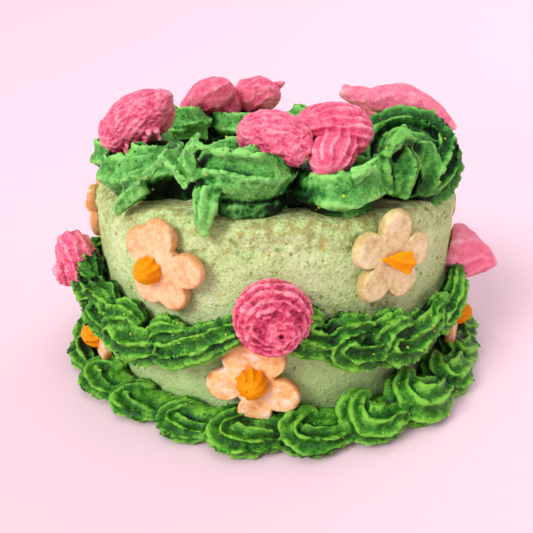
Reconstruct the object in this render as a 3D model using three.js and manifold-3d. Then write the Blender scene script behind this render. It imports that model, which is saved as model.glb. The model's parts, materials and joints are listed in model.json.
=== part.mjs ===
// A small celebration cake: one frosted drum with a piped border of shells at its foot, garlands of shells
// hung between rosettes round its wall, flower biscuits with piped centres, and a crown of large swirls
// with dollops on top. Millimetres and degrees, +Z up. The origin is the middle of the underside.
// Azimuth 0 is the front, towards -Y, and azimuth grows towards +X.

import * as THREE from "three";
import { mergeVertices } from "three/addons/utils/BufferGeometryUtils.js";
import Module from "manifold-3d";

const wasm = await Module();
wasm.setup();

// The drum
const BODY_RADIUS = 60;
const BODY_HEIGHT = 60;
const RIM_ROUND = 5;
const BODY_SIDES = 56;

// Every piece keeps this clear of what it rests on.
const GAP = 0.32;

// How far a finished surface may move when its finest facets are merged
const SLACK = 0.08;

// The border of shells at the foot, and the garlands of shells between the rosettes. Both are drawn as one
// strand that swells and pinches once for every shell. steps is the number of sections in one shell. The
// border is wider at the front by the bulge, and lower by the dip at its lowest bearing.
const BORDER = { shells: 24, width: 13, bulge: 4.2, height: 13, dip: 4.4, lowest: -25, floor: 0.62, steps: 5 };
const GARLAND = { shells: 4, width: 17, height: 9, floor: 0.66, steps: 5, level: 38.4, sag: 12 };
const STRAND = { around: 8, ridge: 0.07 };

// The rosettes on the wall: where they sit, and their form
const ROSETTE_AZIMUTHS = [-1.5, 75, 146, 217, 288];
const ROSETTE_LEVELS = [38, 35.8, 37, 37.4, 36];
const ROSETTE = { radius: 9.8, reach: 14.5, droop: 3, teeth: 6, ridge: 0.09, twist: 1.4 };

// The flower biscuits: an upper and a lower row
const BISCUIT = { petals: 5, petalRadius: 4.85, petalReach: 8.2, thickness: 3.2, pointsPerPetal: 6 };
const UPPER_ROW = {
  azimuths: [-28.5, 29, 103, 171, 238, 265],
  levels: [46.8, 48.8, 46, 46.5, 47, 46],
  turns: [8, -4, 20, 50, 30, 18],
  lean: 0,
};
const LOWER_ROW = {
  azimuths: [-5, 70, 139, 215, 295],
  levels: [16, 16.5, 15.5, 16, 13.4],
  turns: [36, 10, 30, 5, 24],
  lean: 6,
};

// The piped star in the middle of each biscuit
const STAR = { radius: 4, height: 5.4, teeth: 4, ridge: 0.12 };

// The crown of swirls on top: azimuth, the ring radius it is centred on, its own radius, its height, and the
// bearing its rope starts from
const SWIRLS = [
  { azimuth: -51, ring: 47, radius: 15, height: 17, start: 150 },
  { azimuth: -9.5, ring: 47.6, radius: 14.6, height: 18, start: 200 },
  { azimuth: 20.8, ring: 47.8, radius: 14.2, height: 15, start: 20 },
  { azimuth: 56, ring: 45.5, radius: 17.2, height: 22, start: 300 },
  { azimuth: 93, ring: 46, radius: 15.8, height: 20, start: 80 },
  { azimuth: 129, ring: 46, radius: 15.4, height: 18, start: 140 },
  { azimuth: 165, ring: 46, radius: 15.6, height: 18.5, start: 40 },
  { azimuth: 201, ring: 46, radius: 15.4, height: 18, start: 250 },
  { azimuth: 237, ring: 46, radius: 15.6, height: 18.5, start: 330 },
  { azimuth: 274, ring: 46, radius: 15.6, height: 17.5, start: 100 },
];
const COIL = { turns: 2.2, ridge: 0.085, taper: 0.36, bluntness: 0.42 };

// The dollops on the swirls. Each has one lobe or two: its middle (azimuth, ring radius, level), its length and
// width, and the way its tip points (heading from +X towards +Y, and pitch above level).
const DOLLOPS = [
  [{ azimuth: -58, ring: 47, level: 78.6, length: 24, width: 16, heading: 10, pitch: 26 }],
  [{ azimuth: 0.5, ring: 47, level: 79.6, length: 20, width: 13, heading: 170, pitch: 16 }],
  [
    { azimuth: 22.5, ring: 45, level: 82, length: 22, width: 14, heading: 186, pitch: 10 },
    { azimuth: 16.5, ring: 53, level: 75.4, length: 15, width: 11, heading: 250, pitch: -24 },
  ],
  [{ azimuth: 74, ring: 41, level: 83.4, length: 27, width: 12, heading: -16, pitch: -12 }],
  [{ azimuth: 124, ring: 40, level: 82.6, length: 14, width: 9.5, heading: 150, pitch: 30 }],
  [{ azimuth: 190, ring: 44, level: 80, length: 20, width: 13, heading: 10, pitch: 14 }],
  [{ azimuth: 217, ring: 45, level: 80.4, length: 25, width: 15, heading: 20, pitch: 22 }],
];
const DOLLOP = { teeth: 5, ridge: 0.06, twist: 0.9 };

const rad = THREE.MathUtils.degToRad;

// A repeatable number from 0 to 1 for piece number n.
const uneven = (n) => Math.abs((Math.sin(n * 12.9898) * 43758.5453) % 1);

// A point in plan: azimuth in degrees, distance from the axis, level.
function polar(azimuth, ring, level) {
  return new THREE.Vector3(ring * Math.sin(rad(azimuth)), -ring * Math.cos(rad(azimuth)), level);
}

// A point over the wall: arc length along the wall from the front, distance out from it, level.
function onWall(arc, out, level) {
  return polar(THREE.MathUtils.radToDeg(arc / BODY_RADIUS), BODY_RADIUS + out, level);
}

// A closed geometry as a solid that can be joined and cut.
function solidOf(geometry) {
  const bare = geometry.clone();
  bare.deleteAttribute("normal");
  bare.deleteAttribute("uv");
  const merged = mergeVertices(bare, 1e-3);
  const vertProperties = merged.attributes.position.array;
  const triVerts = new Uint32Array(merged.index.array);
  const solid = new wasm.Manifold(new wasm.Mesh({ numProp: 3, vertProperties, triVerts }));
  if (solid.volume() > 0) return solid;
  // Drawn inside out, so every facet is turned over.
  return new wasm.Manifold(new wasm.Mesh({ numProp: 3, vertProperties, triVerts: triVerts.reverse() }));
}

// The largest single body of a solid, as a geometry. Loose scraps left by a cut are dropped, and facets finer
// than the slack are merged.
function geometryOf(solid) {
  const bodies = solid.decompose().sort((a, b) => b.volume() - a.volume());
  const mesh = bodies[0].simplify(SLACK).getMesh();
  const geometry = new THREE.BufferGeometry();
  geometry.setAttribute("position", new THREE.BufferAttribute(mesh.vertProperties, 3));
  geometry.setIndex(new THREE.BufferAttribute(mesh.triVerts, 1));
  const facets = geometry.toNonIndexed();
  facets.computeVertexNormals();
  return facets;
}

// A closed form drawn over a unit sphere: at(run, turn) gives the point at run, 0 to 1 from one pole to the
// other, and turn, the angle round the line between the poles.
function formOf(around, along, at) {
  const sphere = new THREE.SphereGeometry(1, around, along);
  const position = sphere.getAttribute("position");
  for (let i = 0; i < position.count; i++) {
    const run = Math.acos(THREE.MathUtils.clamp(position.getY(i), -1, 1)) / Math.PI;
    const turn = Math.atan2(position.getZ(i), position.getX(i));
    position.setXYZ(i, ...at(run, turn).toArray());
  }
  return solidOf(sphere);
}

// How thick a form is at run: nothing at both poles and most at crest.
function swell(run, crest, bluntness) {
  if (run < 1e-6 || run > 1 - 1e-6) return 0;
  const power = Math.log(0.5) / Math.log(crest);
  return Math.max(0, Math.sin(Math.PI * run ** power)) ** bluntness;
}

// The star section that a toothed nozzle leaves.
const star = (turn, teeth, ridge) => 1 + ridge * Math.cos(teeth * turn);

// Room added round a form that is used to cut its neighbour.
const skin = (run, grow) => grow * Math.min(1, 3 * Math.sin(Math.PI * run));

// The drum, grown where it is used to cut what rests on it. Its rim is rounded.
function drum(grow) {
  const radius = BODY_RADIUS + grow;
  const top = BODY_HEIGHT + grow;
  const profile = new THREE.Path();
  profile.moveTo(0, -grow);
  profile.lineTo(radius, -grow);
  profile.lineTo(radius, top - RIM_ROUND);
  profile.absarc(radius - RIM_ROUND, top - RIM_ROUND, RIM_ROUND, 0, Math.PI / 2, false);
  profile.lineTo(0, top);
  const lathe = new THREE.LatheGeometry(profile.getPoints(2), BODY_SIDES);
  return solidOf(lathe.rotateX(Math.PI / 2));
}

// Joins a list of solids into one.
const join = (solids) => solids.reduce((all, one) => all.add(one));

// How full a strand is at a place along it, given in shells: pinched to the floor where a shell starts, full at
// its belly, then thinning to its tail.
function fullness(place, floor) {
  const t = place - Math.floor(place + 1e-6);
  return floor + (1 - floor) * Math.sin(Math.PI * Math.max(0, t) ** 0.7);
}

// The border: a ring of shells on the board, flat underneath and snug to the drum.
function border() {
  const ring = new THREE.TorusGeometry(2, 1, STRAND.around, BORDER.shells * BORDER.steps);
  const position = ring.getAttribute("position");
  for (let i = 0; i < position.count; i++) {
    const [x, y, z] = [position.getX(i), position.getY(i), position.getZ(i)];
    const turn = Math.atan2(z, Math.hypot(x, y) - 2);
    const place = (((Math.atan2(y, x) / (2 * Math.PI) + 1) % 1) * BORDER.shells + 1e-4) % BORDER.shells;
    const number = Math.floor(place + 1e-3);
    const size = (0.92 + 0.16 * uneven(number + 1)) * fullness(place, BORDER.floor);
    const tooth = star(turn, STRAND.around / 2, STRAND.ridge);
    const azimuth = (360 * place) / BORDER.shells + 3;
    const width = BORDER.width + BORDER.bulge * Math.max(0, Math.cos(rad(azimuth))) ** 4;
    const height = BORDER.height - BORDER.dip * Math.max(0, Math.cos(rad(azimuth - BORDER.lowest))) ** 3;
    const out = 0.5 * width * (0.35 + 0.65 * size) * (1 + tooth * Math.cos(turn));
    const up = height * size * (0.42 + 0.58 * tooth * Math.sin(turn));
    position.setXYZ(i, ...polar(azimuth, BODY_RADIUS + GAP + Math.max(0, out), Math.max(0, up)).toArray());
  }
  return solidOf(ring);
}

// One garland: a strand of shells along a sagging line on the wall, from one rosette to the next.
function garland(from, to, number) {
  return formOf(STRAND.around, GARLAND.shells * GARLAND.steps, (run, turn) => {
    const place = Math.min(run, 0.999) * GARLAND.shells;
    const end = run < 1e-6 || run > 1 - 1e-6 ? 0 : 1;
    const size = (0.93 + 0.14 * uneven(10 * number + Math.floor(place))) * fullness(place, GARLAND.floor);
    const tooth = star(turn, STRAND.around / 2, STRAND.ridge) * end * size;
    const out = GAP + 0.5 * GARLAND.height * Math.max(0, end + tooth * Math.cos(turn));
    const level = GARLAND.level - GARLAND.sag * (1 - (2 * run - 1) ** 2) + 0.5 * GARLAND.width * tooth * Math.sin(turn);
    return onWall(BODY_RADIUS * rad(from + (to - from) * run), out, level);
  });
}

// One rosette: a twisted, ridged boss that points out from the wall and droops to its tip.
function rosette(i, grow) {
  const arc = BODY_RADIUS * rad(ROSETTE_AZIMUTHS[i]);
  const root = -3;
  return formOf(2 * ROSETTE.teeth, 7, (run, turn) => {
    const thick = ROSETTE.radius * swell(run, 0.4, 0.62) * star(turn + ROSETTE.twist * run, ROSETTE.teeth, ROSETTE.ridge);
    const wide = thick + skin(run, grow);
    const out = root + (ROSETTE.reach + grow - root) * run;
    const sink = ROSETTE.droop * run * run;
    return onWall(arc - wide * Math.cos(turn), out, ROSETTE_LEVELS[i] - sink + wide * Math.sin(turn));
  });
}

// The outline of a flower biscuit: round petals round a middle, each an arc of its own circle.
function flowerOutline(grow) {
  const { petals, petalRadius, petalReach, pointsPerPetal } = BISCUIT;
  const points = [];
  for (let i = 0; i < petals * pointsPerPetal; i++) {
    const turn = (2 * Math.PI * i) / (petals * pointsPerPetal);
    const step = (2 * Math.PI) / petals;
    const off = turn - step * Math.round(turn / step);
    const arc = Math.sqrt(Math.max(0, petalRadius ** 2 - (petalReach * Math.sin(off)) ** 2));
    const reach = petalReach * Math.cos(off) + arc + grow;
    points.push(new THREE.Vector2(reach * Math.cos(turn), reach * Math.sin(turn)));
  }
  return new THREE.Shape(points);
}

// Stands a flat form, drawn face up, against the wall with its back towards the axis.
function againstWall(geometry, azimuth, level, turn, lean) {
  const out = BODY_RADIUS + GAP + (BISCUIT.petalReach + BISCUIT.petalRadius) * Math.sin(rad(lean));
  return geometry
    .rotateZ(rad(90 + turn))
    .rotateX(rad(90 - lean))
    .translate(0, -out, level)
    .rotateZ(rad(azimuth));
}

// One biscuit, flat against the wall. Where the row leans, its foot stands out and its top edge touches.
function biscuit(row, i, grow) {
  const flat = new THREE.ExtrudeGeometry(flowerOutline(grow), {
    depth: BISCUIT.thickness + 2 * grow,
    bevelEnabled: false,
    curveSegments: 1,
  }).translate(0, 0, -grow);
  return solidOf(againstWall(flat, row.azimuths[i], row.levels[i], row.turns[i], row.lean));
}

// The piped star on a biscuit's face.
function centre(row, i, grow) {
  const base = BISCUIT.thickness + GAP - grow;
  const sphere = new THREE.SphereGeometry(1, 2 * STAR.teeth, 4);
  const position = sphere.getAttribute("position");
  for (let k = 0; k < position.count; k++) {
    const run = Math.acos(THREE.MathUtils.clamp(position.getY(k), -1, 1)) / Math.PI;
    const turn = Math.atan2(position.getZ(k), position.getX(k));
    const wide = STAR.radius * swell(run, 0.3, 0.5) * star(turn, STAR.teeth, STAR.ridge) + skin(run, grow);
    const tall = base + (STAR.height + 2 * grow) * Math.max(0, (run - 0.25) / 0.75);
    position.setXYZ(k, -wide * Math.cos(turn), wide * Math.sin(turn), tall);
  }
  return solidOf(againstWall(sphere, row.azimuths[i], row.levels[i], row.turns[i], row.lean));
}

// One swirl: a blunt mound with the ledges of its coiled rope climbing round it to the top.
function swirl(s, grow) {
  const foot = BODY_HEIGHT + GAP - grow;
  return formOf(14, 10, (run, turn) => {
    const rise = 0.5 * (1 - Math.cos(Math.PI * run));
    const coil = 2 * Math.PI * COIL.turns * rise - turn - rad(s.start);
    const round = run < 1e-6 || run > 1 - 1e-6 ? 0 : Math.sin(Math.PI * run) ** COIL.bluntness;
    const reach = s.radius * round * (1 - COIL.taper * rise) * (1 + COIL.ridge * Math.cos(coil)) + skin(run, grow);
    const level = foot + (s.height + 2 * grow) * (rise + 0.02 * round * Math.sin(coil));
    return polar(s.azimuth, s.ring, level).add(
      new THREE.Vector3(reach * Math.cos(turn), -reach * Math.sin(turn), 0),
    );
  });
}

// A thin upright blade from the axis outwards, so that neighbours meet at a flat face with a gap.
function parting(azimuth) {
  const blade = new THREE.BoxGeometry(GAP, BODY_RADIUS * 2, BODY_HEIGHT * 4);
  return solidOf(blade.translate(0, -BODY_RADIUS, BODY_HEIGHT).rotateZ(rad(azimuth)));
}

// One lobe of a dollop: an egg with soft ridges, drawn out to its tip.
function lobe(form, grow) {
  const middle = polar(form.azimuth, form.ring, form.level);
  const tip = new THREE.Vector3(1, 0, 0)
    .applyAxisAngle(new THREE.Vector3(0, 1, 0), -rad(form.pitch))
    .applyAxisAngle(new THREE.Vector3(0, 0, 1), rad(form.heading));
  const across = new THREE.Vector3(0, 0, 1).cross(tip).normalize();
  const above = tip.clone().cross(across);
  return formOf(2 * DOLLOP.teeth, 6, (run, turn) => {
    const wide =
      (form.width / 2) * swell(run, 0.42, 0.7) * star(turn + DOLLOP.twist * run, DOLLOP.teeth, DOLLOP.ridge) +
      skin(run, grow);
    return middle
      .clone()
      .addScaledVector(tip, (form.length + 2 * grow) * (run - 0.45))
      .addScaledVector(above, wide * Math.cos(turn))
      .addScaledVector(across, wide * Math.sin(turn));
  });
}

// Colours and finishes
const finish = (color, roughness) => new THREE.MeshStandardMaterial({ color, roughness, metalness: 0, flatShading: true });
const FROSTING = finish(0xc6d69a, 0.85);
const GREEN_PIPING = finish(0x2f7d34, 0.8);
const PINK_PIPING = finish(0xe0527a, 0.8);
const BISCUIT_CRUMB = finish(0xefc08a, 0.9);
const YELLOW_PIPING = finish(0xf9a413, 0.75);

const cake = new THREE.Group();

function put(name, solid, material) {
  const mesh = new THREE.Mesh(geometryOf(solid), material);
  mesh.name = name;
  cake.add(mesh);
}

const ROWS = { upper: UPPER_ROW, lower: LOWER_ROW };
const drumRoom = drum(GAP);
put("cake_body", drum(0), FROSTING);

// Biscuits and their centres come first, because everything piped later gives way to them.
const biscuitRoom = [];
for (const [row, place] of Object.entries(ROWS)) {
  place.azimuths.forEach((_, i) => {
    put(`biscuit_${row}_${i + 1}`, biscuit(place, i, 0), BISCUIT_CRUMB);
    put(`biscuit_centre_${row}_${i + 1}`, centre(place, i, 0), YELLOW_PIPING);
    biscuitRoom.push(biscuit(place, i, GAP), centre(place, i, GAP));
  });
}
const wallRoom = join([drumRoom, ...biscuitRoom]);

ROSETTE_AZIMUTHS.forEach((_, i) => {
  put(`side_rosette_${i + 1}`, rosette(i, 0).subtract(wallRoom), PINK_PIPING);
});

const rosetteRoom = join(ROSETTE_AZIMUTHS.map((_, i) => rosette(i, GAP)));
const garlandRoom = join([...biscuitRoom, rosetteRoom, ...ROSETTE_AZIMUTHS.map(parting)]);
ROSETTE_AZIMUTHS.forEach((from, i) => {
  const to = i + 1 < ROSETTE_AZIMUTHS.length ? ROSETTE_AZIMUTHS[i + 1] : ROSETTE_AZIMUTHS[0] + 360;
  put(`garland_${i + 1}`, garland(from, to, i + 1).subtract(garlandRoom), GREEN_PIPING);
});

put("base_border", border().subtract(join(biscuitRoom)), GREEN_PIPING);

const partings = SWIRLS.map((s, i) => {
  const next = SWIRLS[(i + 1) % SWIRLS.length];
  const wrap = i + 1 < SWIRLS.length ? 0 : 360;
  return parting((s.azimuth + next.azimuth + wrap) / 2);
});
const partingRoom = join(partings);
SWIRLS.forEach((s, i) => put(`top_swirl_${i + 1}`, swirl(s, 0).subtract(partingRoom), GREEN_PIPING));

const swirlRoom = join(SWIRLS.map((s) => swirl(s, GAP)));
DOLLOPS.forEach((lobes, i) => {
  const whole = join(lobes.map((form) => lobe(form, 0)));
  put(`top_dollop_${i + 1}`, whole.subtract(swirlRoom), PINK_PIPING);
});

export default cake;
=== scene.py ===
# %% [markdown]
# # A flower cake
# The real cake is one frosted drum, about 120 mm across. A border of shells is piped round its foot, garlands
# of shells hang between pink rosettes on its wall, flower biscuits stand against it, and a ring of big green
# swirls with pink dollops on them stands round the edge of its top.
# Every form below is a surface worked out with numpy in millimetres and handed to Blender in metres.
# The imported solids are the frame: each finished piece takes the place of one solid.

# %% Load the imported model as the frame
import json
import math

import bpy
import numpy as np
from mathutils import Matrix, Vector

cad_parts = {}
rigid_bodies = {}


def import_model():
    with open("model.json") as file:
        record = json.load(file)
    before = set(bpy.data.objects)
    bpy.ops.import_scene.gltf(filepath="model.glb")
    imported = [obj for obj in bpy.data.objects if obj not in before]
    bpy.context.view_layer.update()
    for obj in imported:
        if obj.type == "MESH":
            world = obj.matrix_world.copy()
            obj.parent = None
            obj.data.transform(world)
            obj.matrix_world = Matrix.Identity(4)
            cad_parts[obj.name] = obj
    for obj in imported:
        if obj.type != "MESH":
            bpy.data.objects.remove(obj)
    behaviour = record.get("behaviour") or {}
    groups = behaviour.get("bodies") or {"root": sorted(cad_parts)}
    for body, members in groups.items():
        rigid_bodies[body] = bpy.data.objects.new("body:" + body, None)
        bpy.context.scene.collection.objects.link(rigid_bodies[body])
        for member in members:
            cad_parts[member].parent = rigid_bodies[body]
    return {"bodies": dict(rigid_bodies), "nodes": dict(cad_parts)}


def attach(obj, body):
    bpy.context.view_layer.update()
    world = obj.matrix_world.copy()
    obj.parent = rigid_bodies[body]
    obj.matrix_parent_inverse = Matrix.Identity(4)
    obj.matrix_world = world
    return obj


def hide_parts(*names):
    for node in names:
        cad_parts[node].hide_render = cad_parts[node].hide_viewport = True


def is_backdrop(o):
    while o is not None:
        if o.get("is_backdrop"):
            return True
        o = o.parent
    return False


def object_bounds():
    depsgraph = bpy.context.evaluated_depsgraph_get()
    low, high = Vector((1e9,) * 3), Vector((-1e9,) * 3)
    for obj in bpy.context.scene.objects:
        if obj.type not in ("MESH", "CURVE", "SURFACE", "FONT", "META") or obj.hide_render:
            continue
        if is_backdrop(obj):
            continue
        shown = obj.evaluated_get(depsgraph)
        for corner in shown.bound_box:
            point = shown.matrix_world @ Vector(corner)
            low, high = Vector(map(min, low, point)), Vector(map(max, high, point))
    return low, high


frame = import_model()
cad_low, cad_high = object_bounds()
BODY = list(frame["bodies"])[0]
print("nodes", len(frame["nodes"]), "body", BODY, "box", list(cad_low), list(cad_high))

# %% [markdown]
# ## Camera and light
# The photograph looks down at the cake by about 22 degrees from close by, which makes the foot look narrower
# than the top. The lens and height below were found by laying the drum's edges over the picture.
# The piping has bright left faces and dark right ones, so the main soft lamp stands high at the left front. A
# wide one overhead opens the shadows, and a weak one behind keeps the back from going black.

# %% The camera
PHOTO_SIDE = 533
SENSOR = 36.0
FOCAL_PIXELS = 565
SHIFT_PIXELS = -8.5
CAMERA_PLACE = (0.0, -0.192, 0.1032)
CAMERA_DOWN = 22.4
NEAR_CLIP = 0.005


def add_object(name, data):
    """An object with this data, linked into the scene at the origin."""
    made = bpy.data.objects.new(name, data)
    bpy.context.scene.collection.objects.link(made)
    return made


camera = add_object("camera", bpy.data.cameras.new("camera"))
camera.location = CAMERA_PLACE
camera.rotation_euler = (math.radians(90 - CAMERA_DOWN), 0, 0)
camera.data.sensor_width = SENSOR
camera.data.lens = FOCAL_PIXELS / PHOTO_SIDE * SENSOR
camera.data.shift_x = SHIFT_PIXELS / PHOTO_SIDE
camera.data.clip_start = NEAR_CLIP
bpy.context.scene.camera = camera
bpy.context.scene.view_settings.view_transform = "Standard"
print("lens", round(camera.data.lens, 2), "mm")

# %% Lamps and the light of the room
# Each lamp: where it stands, its strength, the width in degrees that it seems to have, and its tint.
LAMPS = {
    "key_lamp": ((-0.40, -0.40, 0.42), 2.3, 26, (1.0, 0.985, 0.95)),
    "top_lamp": ((0.02, -0.10, 0.6), 1.05, 60, (1.0, 0.98, 0.98)),
    "back_lamp": ((0.30, 0.42, 0.46), 0.45, 30, (1.0, 0.97, 0.98)),
}
ROOM_TINT = (1.0, 0.95, 0.97, 1)
ROOM_STRENGTH = 0.22

for name, (place, strength, spread, tint) in LAMPS.items():
    lamp = add_object(name, bpy.data.lights.new(name, "SUN"))
    lamp.data.energy, lamp.data.angle, lamp.data.color = strength, math.radians(spread), tint
    lamp.location = place
    lamp.rotation_euler = Vector(place).to_track_quat("Z", "Y").to_euler()
room = bpy.data.worlds.new("room")
bpy.context.scene.world = room
room.use_nodes = True
room.node_tree.nodes["Background"].inputs["Color"].default_value = ROOM_TINT
room.node_tree.nodes["Background"].inputs["Strength"].default_value = ROOM_STRENGTH
print("lamps", list(LAMPS))

# %% [markdown]
# ## From numbers to a mesh
# A form is a grid of points: one direction runs along it and the other runs round it. The same few lines turn
# any such grid into a closed mesh, with its faces outwards and a pole at each end.
# Arrays are handed over whole with foreach_set, because a Python loop over 100,000 vertices would be slow.

# %% Points, grids and meshes
MM = 0.001


def polar(azimuth, ring, level):
    """Points from an azimuth in degrees (0 at the front), a distance from the axis and a level:
    x is ring times the sine, y is minus ring times the cosine."""
    turn = np.radians(azimuth)
    x, y, z = np.broadcast_arrays(ring * np.sin(turn), -ring * np.cos(turn), level)
    return np.stack([x, y, z], axis=-1).astype(float)


def unit(vectors):
    """Vectors shortened or drawn out to length one."""
    return vectors / np.maximum(np.linalg.norm(vectors, axis=-1, keepdims=True), 1e-9)


def ring_quads(index):
    """A quad from each point number to the one beside it and the two in the next row, closing round each
    row."""
    beside = np.roll(index, -1, axis=1)
    return np.stack([index[:-1], beside[:-1], beside[1:], index[1:]], axis=-1).reshape(-1, 4)


def closed_form(grid, start, end):
    """A closed form from a grid (along, round, xyz) and a pole at each end: each end ring is fanned to its
    pole."""
    along, around = grid.shape[:2]
    points = np.concatenate([grid.reshape(-1, 3), [start], [end]])
    index = np.arange(along * around).reshape(along, around)
    beside = np.roll(index, -1, axis=1)
    first = np.stack([np.full(around, along * around), beside[0], index[0]], axis=-1)
    last = np.stack([np.full(around, along * around + 1), index[-1], beside[-1]], axis=-1)
    return points, [ring_quads(index), first, last]


def join_forms(forms):
    """Several closed forms as one list of points and faces: each form's numbers move up by the points
    before."""
    points, faces, count = [], [], 0
    for form_points, form_faces in forms:
        points.append(form_points)
        faces += [f + count for f in form_faces]
        count += len(form_points)
    return np.concatenate(points), faces


def new_mesh(name, points, faces):
    """A mesh from points in millimetres and arrays of faces that may have 3 or 4 corners."""
    mesh = bpy.data.meshes.new(name)
    corners = np.concatenate([f.ravel() for f in faces]).astype(np.int32)
    sizes = np.concatenate([np.full(len(f), f.shape[1]) for f in faces])
    mesh.vertices.add(len(points))
    mesh.vertices.foreach_set("co", (points * MM).astype(np.float32).ravel())
    mesh.loops.add(len(corners))
    mesh.loops.foreach_set("vertex_index", corners)
    mesh.polygons.add(len(sizes))
    mesh.polygons.foreach_set("loop_start", (np.cumsum(sizes) - sizes).astype(np.int32))
    mesh.update(calc_edges=True)
    return mesh


# %% [markdown]
# ## Uneven as food is
# Piped frosting is never even: it swells, tears and holds grains. Noise that repeats from run to run does
# this. Each cell of a lattice gets its own number from its whole-numbered place, and a point takes a smooth
# blend of the eight corners round it.

# %% Repeatable noise
# Three directions at right angles, none of them along an axis, so that no square pattern shows.
TURNED = np.array([[0.64, 0.48, 0.6], [-0.6, 0.8, 0.0], [-0.48, -0.36, 0.8]])


def lattice(cells, seed):
    """One number from 0 to 1 for each cell, from its three whole numbers multiplied and mixed by exclusive
    or."""
    x, y, z = np.moveaxis(cells, -1, 0)
    mixed = (x * 73856093) ^ (y * 19349663) ^ (z * 83492791) ^ (seed * 7919)
    mixed = (mixed ^ (mixed >> 13)) * 1274126177
    return ((mixed ^ (mixed >> 16)) & 0xFFFFF) / 0xFFFFF


def noise(points, size, seed=0):
    """Smooth noise from -1 to 1, measured along the turned directions: the lattice numbers at eight corners,
    blended by 3t^2 - 2t^3 in each direction."""
    scaled = np.asarray(points) @ TURNED / size
    base = np.floor(scaled).astype(np.int64)
    t = scaled - base
    t = t * t * (3 - 2 * t)
    total = 0
    for corner in np.ndindex(2, 2, 2):
        weight = np.prod(np.where(corner, t, 1 - t), axis=-1)
        total = total + weight * lattice(base + np.array(corner), seed)
    return 2 * total - 1


print("noise at three points", noise(np.array([[0, 0, 0], [3.3, 1.2, 0.4], [9, 9, 9.5]]), 2.0).round(3))

# %% [markdown]
# ## A rope from a star nozzle
# All the piping is a rope pushed through a toothed nozzle. Its section has sharp ridges with wide hollows
# between them, and the rope swells, bends and thins as the hand moves. So one function carries that section
# along a path. Several ropes that touch are then fused into one skin by a voxel remesh, as soft frosting
# fuses where it meets, and the skin is torn at its ridges and roughened by noise.

# %% A smooth line through knots, and the rope
def curve(knots, count):
    """A smooth line through the knots: one cubic between each pair, whose slopes come from the knots each
    side."""
    knots = np.asarray(knots, float)
    slope = np.gradient(knots, axis=0)
    place = np.linspace(0, len(knots) - 1, count)
    i = np.minimum(place.astype(int), len(knots) - 2)
    u = (place - i).reshape((-1,) + (1,) * (knots.ndim - 1))
    return (
        (2 * u**3 - 3 * u**2 + 1) * knots[i]
        + (u**3 - 2 * u**2 + u) * slope[i]
        + (3 * u**2 - 2 * u**3) * knots[i + 1]
        + (u**3 - u**2) * slope[i + 1]
    )


def rope(path, radius, teeth, depth, toward, turn=0.0, around=96, sharp=0.7, wander=0.5, squash=1.0):
    """A star-nozzle rope. At each point of the path lies a ring across it, of radius times 1 - depth *
    |sin(teeth * angle / 2)| ** sharp, which has a sharp ridge at every tooth. Angle 0 faces toward, turn
    twists the teeth, wander lets them drift sideways with a noise, and squash flattens the ring towards its
    path in the direction that it faces."""
    path = np.asarray(path, float)
    ahead = unit(np.gradient(path, axis=0))
    toward = np.broadcast_to(np.asarray(toward, float), path.shape)
    outward = unit(toward - ahead * np.sum(toward * ahead, axis=1, keepdims=True))
    across = np.cross(ahead, outward)
    angle = np.linspace(0, 2 * np.pi, around, endpoint=False)
    spoke = squash * np.cos(angle)[None, :, None] * outward[:, None, :]
    spoke = spoke + np.sin(angle)[None, :, None] * across[:, None, :]
    size = np.maximum(np.reshape(radius, (-1, 1)), 0.02)
    drift = wander * noise(path[:, None, :] + size[..., None] * spoke, 4.5, 5)
    tooth = np.abs(np.sin(teeth * (angle[None, :] + np.reshape(turn, (-1, 1))) / 2 + drift)) ** sharp
    grid = path[:, None, :] + (size * (1 - depth * tooth))[..., None] * spoke
    return closed_form(grid, path[0], path[-1])


# %% Fuse ropes into one skin
FEWEST_POINTS = 400


def quad_sides(quads):
    """The two point numbers of each side of every quad."""
    return np.concatenate([quads[:, [k, (k + 1) % 4]] for k in range(4)])


def without_flecks(points, quads):
    """Only the skins that have enough points. To tell the skins apart, each point takes the lowest number
    that it is joined to, over and over."""
    island = np.arange(len(points))
    ends = quad_sides(quads)
    while True:
        lowest = island.copy()
        near = np.minimum(island[ends[:, 0]], island[ends[:, 1]])
        np.minimum.at(lowest, ends[:, 0], near)
        np.minimum.at(lowest, ends[:, 1], near)
        lowest = lowest[lowest]
        if np.array_equal(lowest, island):
            break
        island = lowest
    kept = np.bincount(island, minlength=len(points))[island] >= FEWEST_POINTS
    fresh = np.cumsum(kept) - 1
    return points[kept], fresh[quads[kept[quads[:, 0]]]]


def fused(name, forms, voxel):
    """One skin round all the forms, by Blender's voxel remesh. Returns its points in millimetres and its
    quads."""
    rough = add_object(name, new_mesh(name, *join_forms(forms)))
    remesh = rough.modifiers.new("skin", "REMESH")
    remesh.mode = "VOXEL"
    remesh.voxel_size = voxel * MM
    skin = rough.evaluated_get(bpy.context.evaluated_depsgraph_get()).data
    points = np.empty(len(skin.vertices) * 3, np.float32)
    skin.vertices.foreach_get("co", points)
    quads = np.empty(len(skin.loops), np.int32)
    skin.loops.foreach_get("vertex_index", quads)
    bpy.data.objects.remove(rough)
    return without_flecks(points.reshape(-1, 3).astype(float) / MM, quads.reshape(-1, 4))


# %% Measure the relief, tear and roughen
# Rounds of smoothing, the height in millimetres that counts as 1, and the weight of each relief.
FINE_RELIEF, FINE_WEIGHT = (9, 0.5), 0.6
WIDE_RELIEF, WIDE_WEIGHT = (44, 1.3), 0.5
TORN_RELIEF = (8, 0.45)
WOOL_SIZE = 1.35
WOOL_STRETCH = [0.6, 1.0, 1.25]


def point_normals(points, quads):
    """The outward direction at each point: the crossed diagonals of its quads, added up and made length
    one."""
    a, b, c, d = (points[quads[:, k]] for k in range(4))
    face = np.cross(c - a, d - b)
    total = np.zeros_like(points)
    for axis in range(3):
        total[:, axis] = sum(np.bincount(quads[:, k], face[:, axis], len(points)) for k in range(4))
    return unit(total)


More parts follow.
